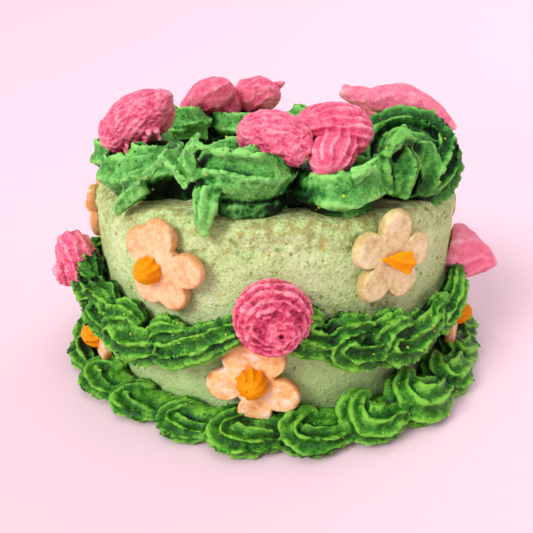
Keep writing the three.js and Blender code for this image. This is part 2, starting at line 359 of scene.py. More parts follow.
def relief_of(points, quads, rounds, height):
    """How far each point stands above its surroundings, as a share of height: ridges are positive. The
    surroundings are the points moved to the mean of their neighbours, several rounds over."""
    ends, smooth = quad_sides(quads), points
    count = np.maximum(np.bincount(ends[:, 0], minlength=len(points)), 1)
    for _ in range(rounds):
        near = smooth[ends[:, 1]].T
        smooth = np.stack([np.bincount(ends[:, 0], places, len(points)) / count for places in near], axis=1)
    over = np.sum((points - smooth) * point_normals(points, quads), axis=1)
    return np.clip(over / height, -1.5, 1.5)


def two_reliefs(points, quads):
    """The fine ridges and the wide bands that they stand on, weighed together."""
    fine = FINE_WEIGHT * relief_of(points, quads, *FINE_RELIEF)
    return fine + WIDE_WEIGHT * relief_of(points, quads, *WIDE_RELIEF)


def torn(points, quads, bite, burr, size):
    """Ridges bitten away and drawn out by turns: the positive relief times one part of a noise takes off the
    bite, and times the other part adds the burr."""
    ridge = np.clip(relief_of(points, quads, *TORN_RELIEF), 0, 1)
    cloud = noise(points, size, 71) + 0.5 * noise(points, size / 2, 72)
    move = burr * np.clip(cloud - 0.25, 0, 1) - bite * np.clip(-cloud - 0.15, 0, 1)
    return points + point_normals(points, quads) * (ridge * move)[:, None]


def roughened(points, quads, layers):
    """Points moved along their normals by a sum of noises. Each layer is a size, a height and a seed."""
    move = sum(height * noise(points, size, seed) for size, height, seed in layers)
    return points + point_normals(points, quads) * np.reshape(move, (-1, 1))


def woolly(points, quads, height):
    """Short wriggling threads: two noises cross nought along winding lines, and a ridge of the given height
    stands where they do, by 1 - 3 * |noise|, cut off at nought. A wider noise sways the points first, and a
    stretch draws the threads out to one side."""
    sway = np.stack([noise(points, 2.4 * WOOL_SIZE, seed) for seed in (86, 87, 88)], axis=1)
    swayed = (points + WOOL_SIZE * sway) * WOOL_STRETCH
    threads = np.clip(1 - 3 * np.abs(noise(swayed, WOOL_SIZE, 81)), 0, 1)
    threads = np.maximum(threads, np.clip(1 - 3 * np.abs(noise(swayed, WOOL_SIZE, 82)), 0, 1))
    return points + point_normals(points, quads) * (height * (threads - 0.4))[:, None]


# %% A finished piece in its place
totals = {}
shapes = []


def place_piece(name, points, faces, material, slot, replaces=(), relief=0.0):
    """A smooth-shaded object with its material on its mesh. It rides on the cake's one body, and it takes the
    place of the solids named in replaces."""
    mesh = new_mesh(name, points, faces)
    mesh.shade_smooth()
    mesh.attributes.new("relief", "FLOAT", "POINT")
    shapes.append((name, mesh, points, relief + np.zeros(len(points))))
    mesh.materials.append(material)
    piece = add_object(name, mesh)
    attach(piece, BODY)
    if replaces:
        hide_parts(*replaces)
    totals[name] = sum(len(f) * (f.shape[1] - 2) for f in faces)


def piped_piece(
    name, forms, voxel, layers, material, slot, node, tear, burr, wool=0.0, floor=None, tatter=2.1
):
    """Ropes fused into one skin, torn at the ridges, roughened, and given their relief, which the material
    paints as highlight on the ridges and shade in the hollows.
    """
    points, quads = fused(name, forms, voxel)
    points = torn(points, quads, tear, burr, tatter)
    points = roughened(points, quads, layers)
    if wool:
        points = woolly(points, quads, wool)
    if floor is not None:
        points[:, 2] = np.maximum(points[:, 2], floor)
    place_piece(name, points, [quads], material, slot, [node], two_reliefs(points, quads))


# %% [markdown]
# ## Finishes
# Frosting is dull, slightly moist and full of fine grain, with small yellow specks and dark pores. Where the
# nozzle pulled a ridge it is thin, and the hollows are deep. Ridges are painted pale, as painted highlight,
# and hollows dark, as painted shade. The relief that was measured on each mesh drives that change, so it stays
# on the piece from every side. Every material on the cake has grain and specks, so each of the two is a node
# group with named inputs and an output.

# %% Small helpers for node trees
def paint(red, green, blue):
    """A screen colour from 0 to 255 as linear light, by the power of 2.4 with its straight foot."""
    share = np.array([red, green, blue]) / 255
    linear = np.where(share <= 0.04045, share / 12.92, ((share + 0.055) / 1.055) ** 2.4)
    return (*linear.tolist(), 1.0)


def feed(tree, value, socket):
    """What a socket takes: a link from another socket, or a plain value of its own."""
    if isinstance(value, bpy.types.NodeSocket):
        tree.links.new(value, socket)
    else:
        socket.default_value = value


def calc(tree, kind, *values, clamp=False):
    """The output of a Math node whose inputs are numbers or sockets."""
    node = tree.nodes.new("ShaderNodeMath")
    node.operation, node.use_clamp = kind, clamp
    for value, socket in zip(values, node.inputs):
        feed(tree, value, socket)
    return node.outputs[0]


def stretched(tree, value, start, end):
    """How far a value has gone from start to end, as a share from 0 to 1."""
    node = tree.nodes.new("ShaderNodeMapRange")
    tree.links.new(value, node.inputs["Value"])
    node.inputs["From Min"].default_value = start
    node.inputs["From Max"].default_value = end
    return node.outputs["Result"]


def share_along(tree, axis, start, end):
    """How far a point has gone from start to end along an axis of the object, in metres."""
    split = tree.nodes.new("ShaderNodeSeparateXYZ")
    tree.links.new(tree.nodes.new("ShaderNodeTexCoord").outputs["Object"], split.inputs[0])
    return stretched(tree, split.outputs[axis], start, end)


def scaled_place(tree, size):
    """Object coordinates divided by a size in metres, which is a socket."""
    scale = tree.nodes.new("ShaderNodeVectorMath")
    scale.operation = "SCALE"
    tree.links.new(tree.nodes.new("ShaderNodeTexCoord").outputs["Object"], scale.inputs[0])
    tree.links.new(calc(tree, "DIVIDE", 1.0, size), scale.inputs["Scale"])
    return scale.outputs[0]


def new_group(name, output, **inputs):
    """An empty node group with named float inputs and one float output, and its two end nodes."""
    group = bpy.data.node_groups.new(name, "ShaderNodeTree")
    for label, value in inputs.items():
        socket = group.interface.new_socket(name=label, in_out="INPUT", socket_type="NodeSocketFloat")
        socket.default_value = value
    group.interface.new_socket(name=output, in_out="OUTPUT", socket_type="NodeSocketFloat")
    return group, group.nodes.new("NodeGroupInput"), group.nodes.new("NodeGroupOutput")


# %% The grain group: cloudy noise stretched to run from 0 to 1
def grain_group():
    """A Noise Texture keeps mostly between 0.3 and 0.7, so that part is stretched."""
    group, given, made = new_group("fine_grain", "Value", Size=0.002, Detail=4.0)
    cloud = group.nodes.new("ShaderNodeTexNoise")
    group.links.new(scaled_place(group, given.outputs["Size"]), cloud.inputs["Vector"])
    group.links.new(given.outputs["Detail"], cloud.inputs["Detail"])
    cloud.inputs["Scale"].default_value = 1.0
    cloud.inputs["Roughness"].default_value = 0.62
    group.links.new(stretched(group, cloud.outputs["Fac"], 0.3, 0.7), made.inputs["Value"])
    return group


# %% The speck group: round dots in some cells of a Voronoi pattern
def speck_group():
    """A cell has a dot where its random red is under the share, and its random green sets the dot's
    radius."""
    group, given, made = new_group("scattered_specks", "Mask", Size=0.003, Share=0.1, Radius=0.25)
    cells = group.nodes.new("ShaderNodeTexVoronoi")
    group.links.new(scaled_place(group, given.outputs["Size"]), cells.inputs["Vector"])
    cells.inputs["Scale"].default_value = 1.0
    split = group.nodes.new("ShaderNodeSeparateColor")
    group.links.new(cells.outputs["Color"], split.inputs[0])
    chosen = calc(group, "LESS_THAN", split.outputs[0], given.outputs["Share"])
    edge = calc(group, "MULTIPLY", given.outputs["Radius"], split.outputs[1])
    inside = calc(group, "SUBTRACT", calc(group, "MULTIPLY_ADD", edge, 0.7, 0.06), cells.outputs["Distance"])
    soft = calc(group, "MULTIPLY", inside, 14.0, clamp=True)
    group.links.new(calc(group, "MULTIPLY", soft, chosen), made.inputs["Mask"])
    return group


GRAIN = grain_group()
SPECKS = speck_group()
print("groups", [g.name for g in bpy.data.node_groups])


# %% Pieces of a material
def placed_group(tree, group, **values):
    """A group node with its inputs set, and its output."""
    node = tree.nodes.new("ShaderNodeGroup")
    node.node_tree = group
    for label, value in values.items():
        node.inputs[label].default_value = value
    return node.outputs[0]


def grain(tree, size, detail):
    """Cloudy grain of a size in metres."""
    return placed_group(tree, GRAIN, Size=size, Detail=detail)


def specks(tree, size, share, radius):
    """Dots in a share of the cells of a size in metres; the radius is a share of a cell."""
    return placed_group(tree, SPECKS, Size=size, Share=share, Radius=radius)


def relief_and_painted_shade(tree):
    """The relief that is kept on the mesh, with painted shade taken off it where a place lies deep."""
    node = tree.nodes.new("ShaderNodeAttribute")
    node.attribute_name = "relief"
    return node.outputs["Fac"]


def ramp(tree, value, stops):
    """A colour ramp from a list of (place, red, green, blue)."""
    node = tree.nodes.new("ShaderNodeValToRGB")
    elements = node.color_ramp.elements
    while len(elements) < len(stops):
        elements.new(0.5)
    for element, (place, *colour) in zip(elements, stops):
        element.position, element.color = place, paint(*colour)
    tree.links.new(value, node.inputs[0])
    return node.outputs[0]


def mixed(tree, mask, under, over):
    """The colour under, covered by the colour over as far as the mask says."""
    node = tree.nodes.new("ShaderNodeMix")
    node.data_type = "RGBA"
    tree.links.new(mask, node.inputs["Factor"])
    for label, value in (("A", under), ("B", over)):
        feed(tree, value, [s for s in node.inputs if s.name == label and s.type == "RGBA"][0])
    return [s for s in node.outputs if s.type == "RGBA"][0]


def new_material(name, specular):
    """A material with only its shader and output, and the tree to build in."""
    material = bpy.data.materials.new(name)
    material.use_nodes = True
    shader = material.node_tree.nodes["Principled BSDF"]
    shader.inputs["Specular IOR Level"].default_value = specular
    return material, material.node_tree, shader


def finish_off(tree, shader, colour, roughness, height, strength, distance):
    """Colour and roughness to the shader, and a height through a Bump node to its normal."""
    tree.links.new(colour, shader.inputs["Base Color"])
    feed(tree, roughness, shader.inputs["Roughness"])
    bump = tree.nodes.new("ShaderNodeBump")
    bump.inputs["Strength"].default_value = strength
    bump.inputs["Distance"].default_value = distance
    tree.links.new(height, bump.inputs["Height"])
    tree.links.new(bump.outputs[0], shader.inputs["Normal"])


# %% The piped frosting's material
SPECK_SIZE, SPECK_RADIUS = 0.0021, 0.26
PORE_SIZE, PORE_SHARE, PORE_RADIUS = 0.0015, 0.3, 0.34


def piping_material(
    name, stops, speck=None, speck_share=0.1, painted_light_gain=0.5, grain_gain=0.34, lift=0.42, shine=0.4,
    pore=0.75,
):
    """Colour follows the mesh's relief plus two grains through a ramp, which paints a highlight on the ridges
    and shade in the hollows; lift moves the whole finish up the ramp. Then specks and dark pores lie on top,
    the pores a third as bright as the darkest stop."""
    material, tree, shader = new_material(name, shine)
    fine, broad = grain(tree, 0.0007, 3.0), grain(tree, 0.0036, 4.0)
    # The relief gives a painted highlight on the ridges and painted shade in the hollows.
    value = calc(tree, "MULTIPLY_ADD", relief_and_painted_shade(tree), painted_light_gain, lift - 0.5 * grain_gain)
    value = calc(tree, "MULTIPLY_ADD", fine, grain_gain, value)
    value = calc(tree, "MULTIPLY_ADD", calc(tree, "SUBTRACT", broad, 0.25), 0.26, value)
    colour = ramp(tree, value, stops)
    if speck:
        colour = mixed(tree, specks(tree, SPECK_SIZE, speck_share, SPECK_RADIUS), colour, paint(*speck))
    pores = specks(tree, PORE_SIZE, PORE_SHARE, PORE_RADIUS)
    dark = (*(0.35 * c for c in paint(*stops[0][1:])[:3]), 1.0)
    colour = mixed(tree, calc(tree, "MULTIPLY", pores, pore), colour, dark)
    roughness = calc(tree, "MULTIPLY_ADD", fine, 0.25, 0.4)
    height = calc(tree, "SUBTRACT", calc(tree, "MULTIPLY", fine, 0.5), pores)
    finish_off(tree, shader, colour, roughness, height, 0.55, 0.0004)
    return material


GREEN = piping_material(
    "green_piping", [(0, 2, 22, 4), (0.26, 18, 74, 12), (0.52, 50, 124, 20), (0.95, 124, 200, 64)],
    speck=(190, 205, 70), lift=0.51, shine=0.28,
)
SWIRL_GREEN = piping_material(
    "swirl_piping", [(0, 3, 26, 6), (0.26, 30, 100, 32), (0.5, 80, 162, 66), (0.9, 144, 222, 116)],
    speck=(200, 205, 60), grain_gain=0.3, shine=0.22,
)
# The swirl green painted darker, as painted shade, for the swirl at the right front.
SHADED_SWIRL_GREEN = piping_material(
    "shaded_swirl_piping", [(0, 2, 22, 4), (0.26, 18, 78, 20), (0.5, 54, 132, 44), (0.9, 120, 200, 88)],
    speck=(170, 170, 40), grain_gain=0.3, shine=0.22,
)
PINK = piping_material(
    "pink_piping", [(0, 140, 12, 50), (0.3, 212, 62, 104), (0.55, 238, 104, 138), (0.9, 254, 168, 184)],
    pore=0.3,
)
SOFT_PINK = piping_material(
    "soft_pink_piping", [(0, 166, 34, 76), (0.3, 224, 86, 122), (0.55, 240, 122, 150), (0.9, 255, 178, 194)],
    painted_light_gain=0.4, grain_gain=0.22, pore=0.3,
)
MAGENTA = piping_material(
    "pink_rosette_piping", [(0, 90, 2, 34), (0.3, 178, 36, 78), (0.55, 222, 84, 116), (0.9, 248, 156, 170)],
    painted_light_gain=0.6, lift=0.38, pore=0.3,
)
YELLOW = piping_material(
    "yellow_piping", [(0, 214, 96, 0), (0.3, 232, 128, 0), (0.6, 240, 150, 0), (0.95, 250, 184, 0)],
    speck=(255, 205, 60), speck_share=0.02, painted_light_gain=0.26, grain_gain=0.16, lift=0.5, shine=0.12,
)
CRUMB_YELLOW = piping_material(
    "yellow_crumb", [(0, 150, 160, 40), (0.5, 196, 206, 80), (0.9, 226, 226, 120)], painted_light_gain=0.4
)
CRUMB_OCHRE = piping_material(
    "ochre_crumb", [(0, 150, 136, 50), (0.5, 196, 190, 92), (0.9, 220, 216, 140)], painted_light_gain=0.4
)
print("materials", [m.name for m in bpy.data.materials])

# %% The frosted drum's material
# Each kind of speck: cell size, share, radius, strength, and its colour.
FROSTING_SPECKS = [
    (0.0030, 0.5, 0.42, 0.6, (206, 198, 70)),
    (0.0056, 0.4, 0.3, 0.7, (206, 180, 66)),
    (0.0050, 0.14, 0.26, 0.8, (236, 160, 60)),
    (0.0022, 0.3, 0.42, 0.6, (112, 132, 60)),
    (0.0038, 0.2, 0.3, 0.7, (90, 110, 50)),
]
# Between which levels, in metres, the stain under the swirls comes up, and the band at the foot that is
# painted lighter, as painted light.
STAIN_LEVELS, STAIN = (0.051, 0.0585), (154, 138, 62)
PAINTED_LIGHT_LEVELS, PAINTED_LIGHT_GREEN = (0.03, 0.02), (190, 232, 150)
# The olive painted as shade where the relief says a place lies deep.
PAINTED_SHADE_OLIVE = (84, 92, 44)


def frosting_material():
    """Pale yellow-green with a fibrous grain: thin pale lines where two noises cross their middle value, then
    specks of several colours, a yellow-brown stain in patches near the top edge, painted light that makes the
    band between the garlands and the border paler, and olive painted shade where the relief says that the
    place lies deep."""
    material, tree, shader = new_material("frosting", 0.25)
    broad, fine = grain(tree, 0.012, 3.0), grain(tree, 0.0009, 5.0)
    clouds = [grain(tree, size, 2.0) for size in (0.0026, 0.0015)]
    threads = [calc(tree, "ABSOLUTE", calc(tree, "SUBTRACT", cloud, 0.5)) for cloud in clouds]
    fibre = calc(tree, "MULTIPLY", calc(tree, "MINIMUM", *threads), 3.0, clamp=True)
    value = calc(tree, "MULTIPLY_ADD", broad, 0.3, calc(tree, "MULTIPLY_ADD", fibre, -0.3, 0.34))
    value = calc(tree, "MULTIPLY_ADD", fine, 0.3, value)
    stops = [(0.1, 118, 158, 76), (0.36, 172, 206, 126), (0.58, 204, 230, 160), (0.95, 236, 246, 202)]
    colour = ramp(tree, value, stops)
    for size, share, radius, strength, tint in FROSTING_SPECKS:
        dots = calc(tree, "MULTIPLY", specks(tree, size, share, radius), strength)
        colour = mixed(tree, dots, colour, paint(*tint))
    patches = calc(tree, "SUBTRACT", grain(tree, 0.0027, 5.0), 0.32)
    patches = calc(tree, "MULTIPLY", patches, 2.6, clamp=True)
    stained = calc(tree, "MULTIPLY", share_along(tree, "Z", *STAIN_LEVELS), patches)
    colour = mixed(tree, calc(tree, "MULTIPLY", stained, 0.7, clamp=True), colour, paint(*STAIN))
    # Painted light: the wall between the garlands and the border is painted paler.
    painted_light = calc(tree, "MULTIPLY", share_along(tree, "Z", *PAINTED_LIGHT_LEVELS), 0.62)
    colour = mixed(tree, painted_light, colour, paint(*PAINTED_LIGHT_GREEN))
    # Painted shade: olive where the relief falls below nought.
    painted_shade = calc(tree, "MULTIPLY", relief_and_painted_shade(tree), -0.36, clamp=True)
    colour = mixed(tree, painted_shade, colour, paint(*PAINTED_SHADE_OLIVE))
    roughness = calc(tree, "MULTIPLY_ADD", fine, 0.2, 0.6)
    height = calc(tree, "ADD", fibre, calc(tree, "MULTIPLY", fine, 0.5))
    finish_off(tree, shader, colour, roughness, height, 0.6, 0.00045)
    return material


FROSTING = frosting_material()

# %% The biscuits' material
BLOOM = (252, 232, 214)
SUGAR = (240, 150, 60)


def biscuit_material(name, bloom, stops):
    """Baked dough: peach mottles of two sizes, browner low spots, white bloom on a share of it, and small
    orange grains."""
    material, tree, shader = new_material(name, 0.25)
    broad, fine = grain(tree, 0.0058, 3.0), grain(tree, 0.0014, 4.0)
    value = calc(tree, "MULTIPLY_ADD", fine, 0.4, calc(tree, "MULTIPLY", broad, 0.55))
    value = calc(tree, "MULTIPLY_ADD", relief_and_painted_shade(tree), 0.25, value)
    colour = ramp(tree, value, stops)
    patches = grain(tree, 0.0032, 5.0)
    white = calc(tree, "MULTIPLY", calc(tree, "SUBTRACT", patches, 1.0 - bloom), 3.0, clamp=True)
    colour = mixed(tree, calc(tree, "MULTIPLY", white, 0.8), colour, paint(*BLOOM))
    colour = mixed(tree, specks(tree, 0.0034, 0.24, 0.26), colour, paint(*SUGAR))
    finish_off(tree, shader, colour, 0.78, calc(tree, "ADD", fine, patches), 0.45, 0.0003)
    return material


PALE_BISCUIT = biscuit_material(
    "pale_biscuit", 0.22, [(0.1, 222, 158, 98), (0.45, 246, 196, 146), (0.8, 253, 216, 172)]
)
BLOND_BISCUIT = biscuit_material(
    "blond_biscuit", 0.22, [(0.1, 202, 178, 112), (0.45, 230, 216, 160), (0.8, 244, 234, 190)]
)
BAKED_BISCUIT = biscuit_material(
    "baked_biscuit", 0.5, [(0.1, 216, 140, 70), (0.45, 248, 190, 122), (0.8, 255, 216, 162)]
)

# %% [markdown]
# ## The floor
# The cake was cut out and laid on plain pale pink. One round sheet does for floor and backdrop: it lies flat
# round the cake and then rises slowly on every side, so no edge shows from any view. Far from the cake it
# takes more light than near it, so its pink gets a little deeper there and the picture stays even.

# %% The pale sheet
SHEET_BEND = 0.45
NEAR_PINK = (0.94, 0.71, 0.82, 1)
FAR_PINK = (0.92, 0.64, 0.745, 1)
TURNED_OVER = [0, 3, 2, 1]


def stage_sheet():
    """A round sheet: flat out to its bend, then rising by half the square of the distance past it."""
    reach = np.concatenate([np.linspace(0, 0.3, 8), np.linspace(0.34, 1.72, 30)])[1:, None]
    azimuth = np.linspace(0, 2 * np.pi, 96, endpoint=False)
    z = 0.5 * np.maximum(0, reach - SHEET_BEND) ** 2 + 0 * azimuth
    grid = np.stack([reach * np.sin(azimuth), reach * np.cos(azimuth), z], axis=-1)
    index = np.arange(z.size).reshape(z.shape)
    fan = np.stack([np.full(len(azimuth), z.size), index[0], np.roll(index[0], -1)], axis=-1)
    return np.concatenate([grid.reshape(-1, 3), [[0, 0, 0]]]) / MM, [ring_quads(index)[:, TURNED_OVER], fan]


sheet = add_object("floor", new_mesh("floor", *stage_sheet()))
sheet.data.shade_smooth()
floor_material, floor_tree, floor_shader = new_material("floor", 0.0)
floor_pink = mixed(floor_tree, share_along(floor_tree, "Y", 0.1, 1.1), NEAR_PINK, FAR_PINK)
floor_tree.links.new(floor_pink, floor_shader.inputs["Base Color"])
floor_shader.inputs["Roughness"].default_value = 1.0
sheet.data.materials.append(floor_material)
sheet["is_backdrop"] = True

# %% [markdown]
# ## The frosted drum
# The body is a turned form, smeared by hand: flat in places, with faint streaks where the knife went round,
# small pits, and a rough torn edge under the swirls. It is a profile turned about the axis, and the
# unevenness is added along the wall's own direction, which keeps the profile closed.

# %% The drum as a turned profile
BODY_RADIUS = 60.0
BODY_HEIGHT = 60.0
RIM_ROUND = 5.0
BODY_COLUMNS = 620
WALL_ROWS = 104


def drum_surface():
    """Profile rows from the middle of the underside, up the wall, round the rim and in over the top, turned
    through a full circle. Wall and rim rows move outwards by lumps, streaks, grain and pits."""
    bend = np.linspace(0, np.pi / 2, 12)
    rim_rings = BODY_RADIUS - RIM_ROUND * (1 - np.cos(bend))[1:]
    rim_levels = BODY_HEIGHT - RIM_ROUND * (1 - np.sin(bend))[1:]
    foot = [20, 45, 58.6, BODY_RADIUS]
    rings = np.concatenate([foot, np.full(WALL_ROWS, BODY_RADIUS), rim_rings, [50, 40, 22]])
    levels = np.concatenate([[0, 0, 0, 0.8], np.linspace(1.2, 54.9, WALL_ROWS), rim_levels, [60, 60, 60]])
    azimuth = np.arange(BODY_COLUMNS) * 360 / BODY_COLUMNS
    grid = polar(azimuth[None, :], rings[:, None], levels[:, None])
    arc = BODY_RADIUS * np.radians(np.minimum(azimuth, 360 - azimuth))[None, :] + 0 * levels[:, None]
    streaked = np.stack([arc / 7, 0 * arc, np.broadcast_to(levels[:, None], arc.shape)], axis=-1)
    edge = np.clip((levels - 47) / 6, 0, 1)[:, None] * np.clip((62 - levels) / 4, 0, 1)[:, None]
    move = 0.35 * noise(grid, 19, 1) + 0.14 * noise(grid, 7, 2) + 0.05 * noise(streaked, 1.5, 3)
    move = move + 0.1 * noise(grid, 1.4, 4)
    move = move - 0.9 * np.clip(noise(grid, 1.7, 6) - 0.58, 0, 1)
    move = move + edge * (0.7 * noise(grid, 3.0, 7) + 0.6 * noise(grid, 1.5, 8) - 0.5)
    wall = np.clip((levels - 1.0) / 4, 0, 1)[:, None] * np.clip((rings - 50) / 5, 0, 1)[:, None]
    outward = polar(azimuth[None, :], 1.0, 0 * levels[:, None])
    grid = grid + outward * ((move - 0.25) * wall)[..., None]
    return closed_form(grid, [0, 0, 0], [0, 0, BODY_HEIGHT])


place_piece("frosted_drum", *drum_surface(), FROSTING, "frosting", ["cake_body"])
print("drum", totals["frosted_drum"], "triangles")

# %% [markdown]
# ## The border of shells
# Each shell starts with a blob pushed against the wall. The nozzle then lifts forward in a small hook and
# drags to the right while the pressure drops, so the ridges make nested curves that meet in a tail, and the
# next shell covers that tail. A rope along such a hooked path makes exactly these ridges.

# %% One shell's path, and the border
SHELL_STATIONS = 60
BORDER_SHELLS = 24
BORDER_PITCH = 15.0
BORDER_START = 3.0
# Reach from the axis and height of the border, by azimuth.
BORDER_BEARINGS = [-180, -80, -58, -41, -28, -18, -5, 5, 13, 22, 32, 42, 60, 76, 180]
BORDER_REACH = [73.4, 74.2, 75.4, 74.8, 75.4, 77.4, 78.4, 78.2, 78.8, 79.2, 78.8, 76.2, 73.4, 74.4, 73.4]
BORDER_TOPS = [12.6, 11.5, 10.2, 9.6, 9.4, 9.2, 9.4, 10.4, 11.8, 13.8, 15.6, 14.6, 13.0, 12.6, 12.6]
# The reach past the wall and the top that the hooked path below has before it is stretched, and the ring
# along which its length is measured.
PATH_REACH, PATH_TOP, PATH_RING = 17.2, 14.6, 68
WALL_GAP = 0.32
chance = np.random.default_rng(20)


def border_shell(number):
    """A hooked path in border measures (along the wall, out from it, up), bent round the drum by its azimuth.
    The rope's radius goes from a blunt start to a full belly and thins to the tail."""
    azimuth = BORDER_START + BORDER_PITCH * number
    size = 1 + 0.09 * chance.uniform(-1, 1)
    skew = chance.uniform(-1, 1, 4)
    bearing = (azimuth + 180) % 360 - 180
    spread = (np.interp(bearing, BORDER_BEARINGS, BORDER_REACH) - BODY_RADIUS) / PATH_REACH
    top = np.interp(bearing, BORDER_BEARINGS, BORDER_TOPS)
    flare = 0.45 + 0.3 * skew[3]
    along = np.array([0.8, -3.4, -6.6, -6.2, -1.8, 3.4, 8.2, 12.4]) * size + 8.0 + 0.7 * skew[0]
    out = np.array([2.6, 3.4, 5.6, 8.8, 10.2, 9.2, 7.0, 5.0])
    out = out + flare * np.array([0, 0, 0, 0, 0.2, 1.8, 4.2, 6.6])
    up = np.array([10.2, 9.6, 7.6, 6.0, 5.2, 5.2, 4.4, 3.0]) * (1 + 0.06 * skew[1])
    radius = np.array([1.6, 4.2, 5.6, 6.8, 7.0, 5.6, 3.4, 1.0]) * size
    track = curve(np.stack([along, out * spread, up], axis=1), SHELL_STATIONS)
    thick = curve(radius, SHELL_STATIONS) * (0.5 + 0.5 * spread)
    degrees = azimuth + np.degrees(track[:, 0] / PATH_RING)
    path = polar(degrees, BODY_RADIUS + WALL_GAP + track[:, 1], track[:, 2])
    depth = 0.36 + 0.1 * np.clip((14 - top) / 5, 0, 1)
    toward = polar(degrees, 1.0, 1.0)
    points, faces = rope(path, thick, 8, depth, toward, 0.4 * skew[2], sharp=0.72, wander=0.8)
    points[:, 2] = points[:, 2] * top / PATH_TOP
    return points, faces


def border_core():
    """A smooth round strand under the shells, close to the wall, so that no gap opens between two shells."""
    azimuth = np.linspace(-180, 180, 240, endpoint=False)[:, None]
    angle = np.linspace(0, 2 * np.pi, 24, endpoint=False)[None, :]
    grid = polar(azimuth, BODY_RADIUS + 4.2 + 3.7 * np.cos(angle), 3.4 + 3.2 * np.sin(angle))
    index = np.arange(grid[..., 0].size).reshape(grid.shape[:2])
    return grid.reshape(-1, 3), [ring_quads(np.concatenate([index, index[:1]]))[:, TURNED_OVER]]


PIPED_LAYERS = [(5.0, 0.4, 11), (2.0, 0.22, 12), (1.0, 0.16, 13)]
border = [border_core()] + [border_shell(i) for i in range(BORDER_SHELLS)]
piped_piece(
    "shell_border", border, 0.55, PIPED_LAYERS, GREEN, "green_piping", "base_border",
    tear=0.8, burr=0.6, floor=0.0, tatter=2.8,
)
print("border", totals["shell_border"], "triangles")

# %% [markdown]
# ## The garlands
# The same shells hang in five bows between the rosettes. They are pressed flatter against the wall, and each
# follows the slope of its bow. Wall measures (along the wall, out, up) are bent round the drum at the end.

# %% A garland's shells on its sagging line
ROSETTE_AZIMUTHS = [-1.5, 75, 146, 217, 288]
ROSETTE_LEVELS = [38, 35.8, 37, 37.4, 36]
GARLAND_LEVEL = 38.2
GARLAND_SAG = 12
# Where each shell of a garland starts, as a share of its length: the two in front, and the others.
GARLAND_RUNS = {1: (0.1, 0.27, 0.43, 0.67), 5: (0.13, 0.3, 0.48, 0.67)}
EVEN_RUNS = (0.13, 0.36, 0.6, 0.82)
LAST_RUN = 1.04
# The length of the hooked path below before it is stretched.
HOOK_LENGTH = 17.4


def on_wall(arc, out, level):
    """Points over the wall: arc length from the front becomes an azimuth."""
    return polar(np.degrees(arc / BODY_RADIUS), BODY_RADIUS + out, level)


def facing_out(arc):
    """The level direction out of the wall at each place along it."""
    return on_wall(arc, 1.0, 0.0) * [1, 1, 0] / BODY_RADIUS


def garland_shell(start, length, garland, number):
    """The hooked path of one shell, in the plane of the wall, turned to the bow's slope at its place. It is
    as long as the room up to the next shell, and the bow is a parabola."""
    runs = GARLAND_RUNS.get(garland, EVEN_RUNS) + (LAST_RUN,)
    run, following = runs[number : number + 2]
    slope = math.atan(GARLAND_SAG * 4 * (run + following - 1) / length)
    level = GARLAND_LEVEL - 0.6 - GARLAND_SAG * (1 - (2 * run - 1) ** 2)
    pitch = length * (following - run) / HOOK_LENGTH
    skew = chance.uniform(-1, 1, 4)
    size = (1.02, 1.1, 1.12, 0.84 if garland == 1 else 0.98)[number] * (1 + 0.06 * skew[0])
    along = np.array([1.6, -2.2, -5.8, -6.4, -2.8, 3.0, 8.8, 14.0])
    along = np.where(along > -3, along * pitch, along) * size + 2.6
    out = np.array([4.4, 4.2, 4.0, 4.2, 4.9, 4.7, 3.9, 2.6])
    up = np.array([2.4, 3.7, 2.6, -0.6, -2.3, -2.2, -1.4, -0.6]) * size + 0.5 * skew[1]
    radius = np.array([2.0, 4.2, 5.2, 5.9, 6.2, 5.9, 4.8, 2.4]) * size
    track = curve(np.stack([along, out, up], axis=1), SHELL_STATIONS)
    thick = curve(radius, SHELL_STATIONS)
    arc = start + length * run + track[:, 0] * math.cos(slope) - track[:, 2] * math.sin(slope)
    rise = level + track[:, 0] * math.sin(slope) + track[:, 2] * math.cos(slope)
    path = on_wall(arc, np.maximum(track[:, 1], thick * 0.72), rise)
    toward = facing_out(arc) + np.array([0, 0, -0.35])
    return rope(path, thick, 9, 0.38, toward, 0.4 * skew[2], sharp=0.72, wander=0.8)


ends = ROSETTE_AZIMUTHS + [ROSETTE_AZIMUTHS[0] + 360]
for i in range(1, 6):
    begin, span = BODY_RADIUS * math.radians(ends[i - 1]), BODY_RADIUS * math.radians(ends[i] - ends[i - 1])
    shells = [garland_shell(begin, span, i, k) for k in range(4)]
    name, node = f"shell_garland_{i}", f"garland_{i}"
    piped_piece(name, shells, 0.45, PIPED_LAYERS, GREEN, "green_piping", node, tear=1.3, burr=1.2)
print("garlands", [n for title, n in totals.items() if "garland" in title], "triangles")

# %% [markdown]
# ## The side rosettes
# Pink frosting piped straight at the wall in a small coil: a fine-toothed nozzle winds in towards the middle
# and pulls away, leaving a point that droops. The rope's path is a shrinking spiral that comes out from the
# wall. One of them was pulled straight off instead, so it is a folded cone.

# %% Rosettes as spirals that leave the wall
# Size, reach from the wall, teeth, their depth, and turns; the second is the cone.
ROSETTES = [
    (1.2, 14.4, 15, 0.15, 2.2),
    None,
    (1.0, 13.6, 12, 0.12, 1.9),
    (1.14, 14.0, 12, 0.12, 1.8),
    (1.24, 15.8, 11, 0.15, 1.7),
]
CONE_REACH = 15.6


def cone_rosette(number):
    """Frosting pressed out straight from the wall and pulled away: the radius falls from a broad foot to a
    tip."""
    t = np.linspace(0, 1, 90)
    thick = 9.8 * np.minimum(1, 0.85 + t) * (1 - t**1.35) ** 0.8 + 0.9 * (1 - t**8)
    arc = BODY_RADIUS * math.radians(ROSETTE_AZIMUTHS[number]) + 0 * t
    path = on_wall(arc, -1 + (CONE_REACH + 1) * t, ROSETTE_LEVELS[number] + 0.6 - 3.4 * t)
    return rope(path, thick, 7, 0.14, (0, 0, 1), 1.1 * t, around=140, sharp=0.9, wander=0.8)


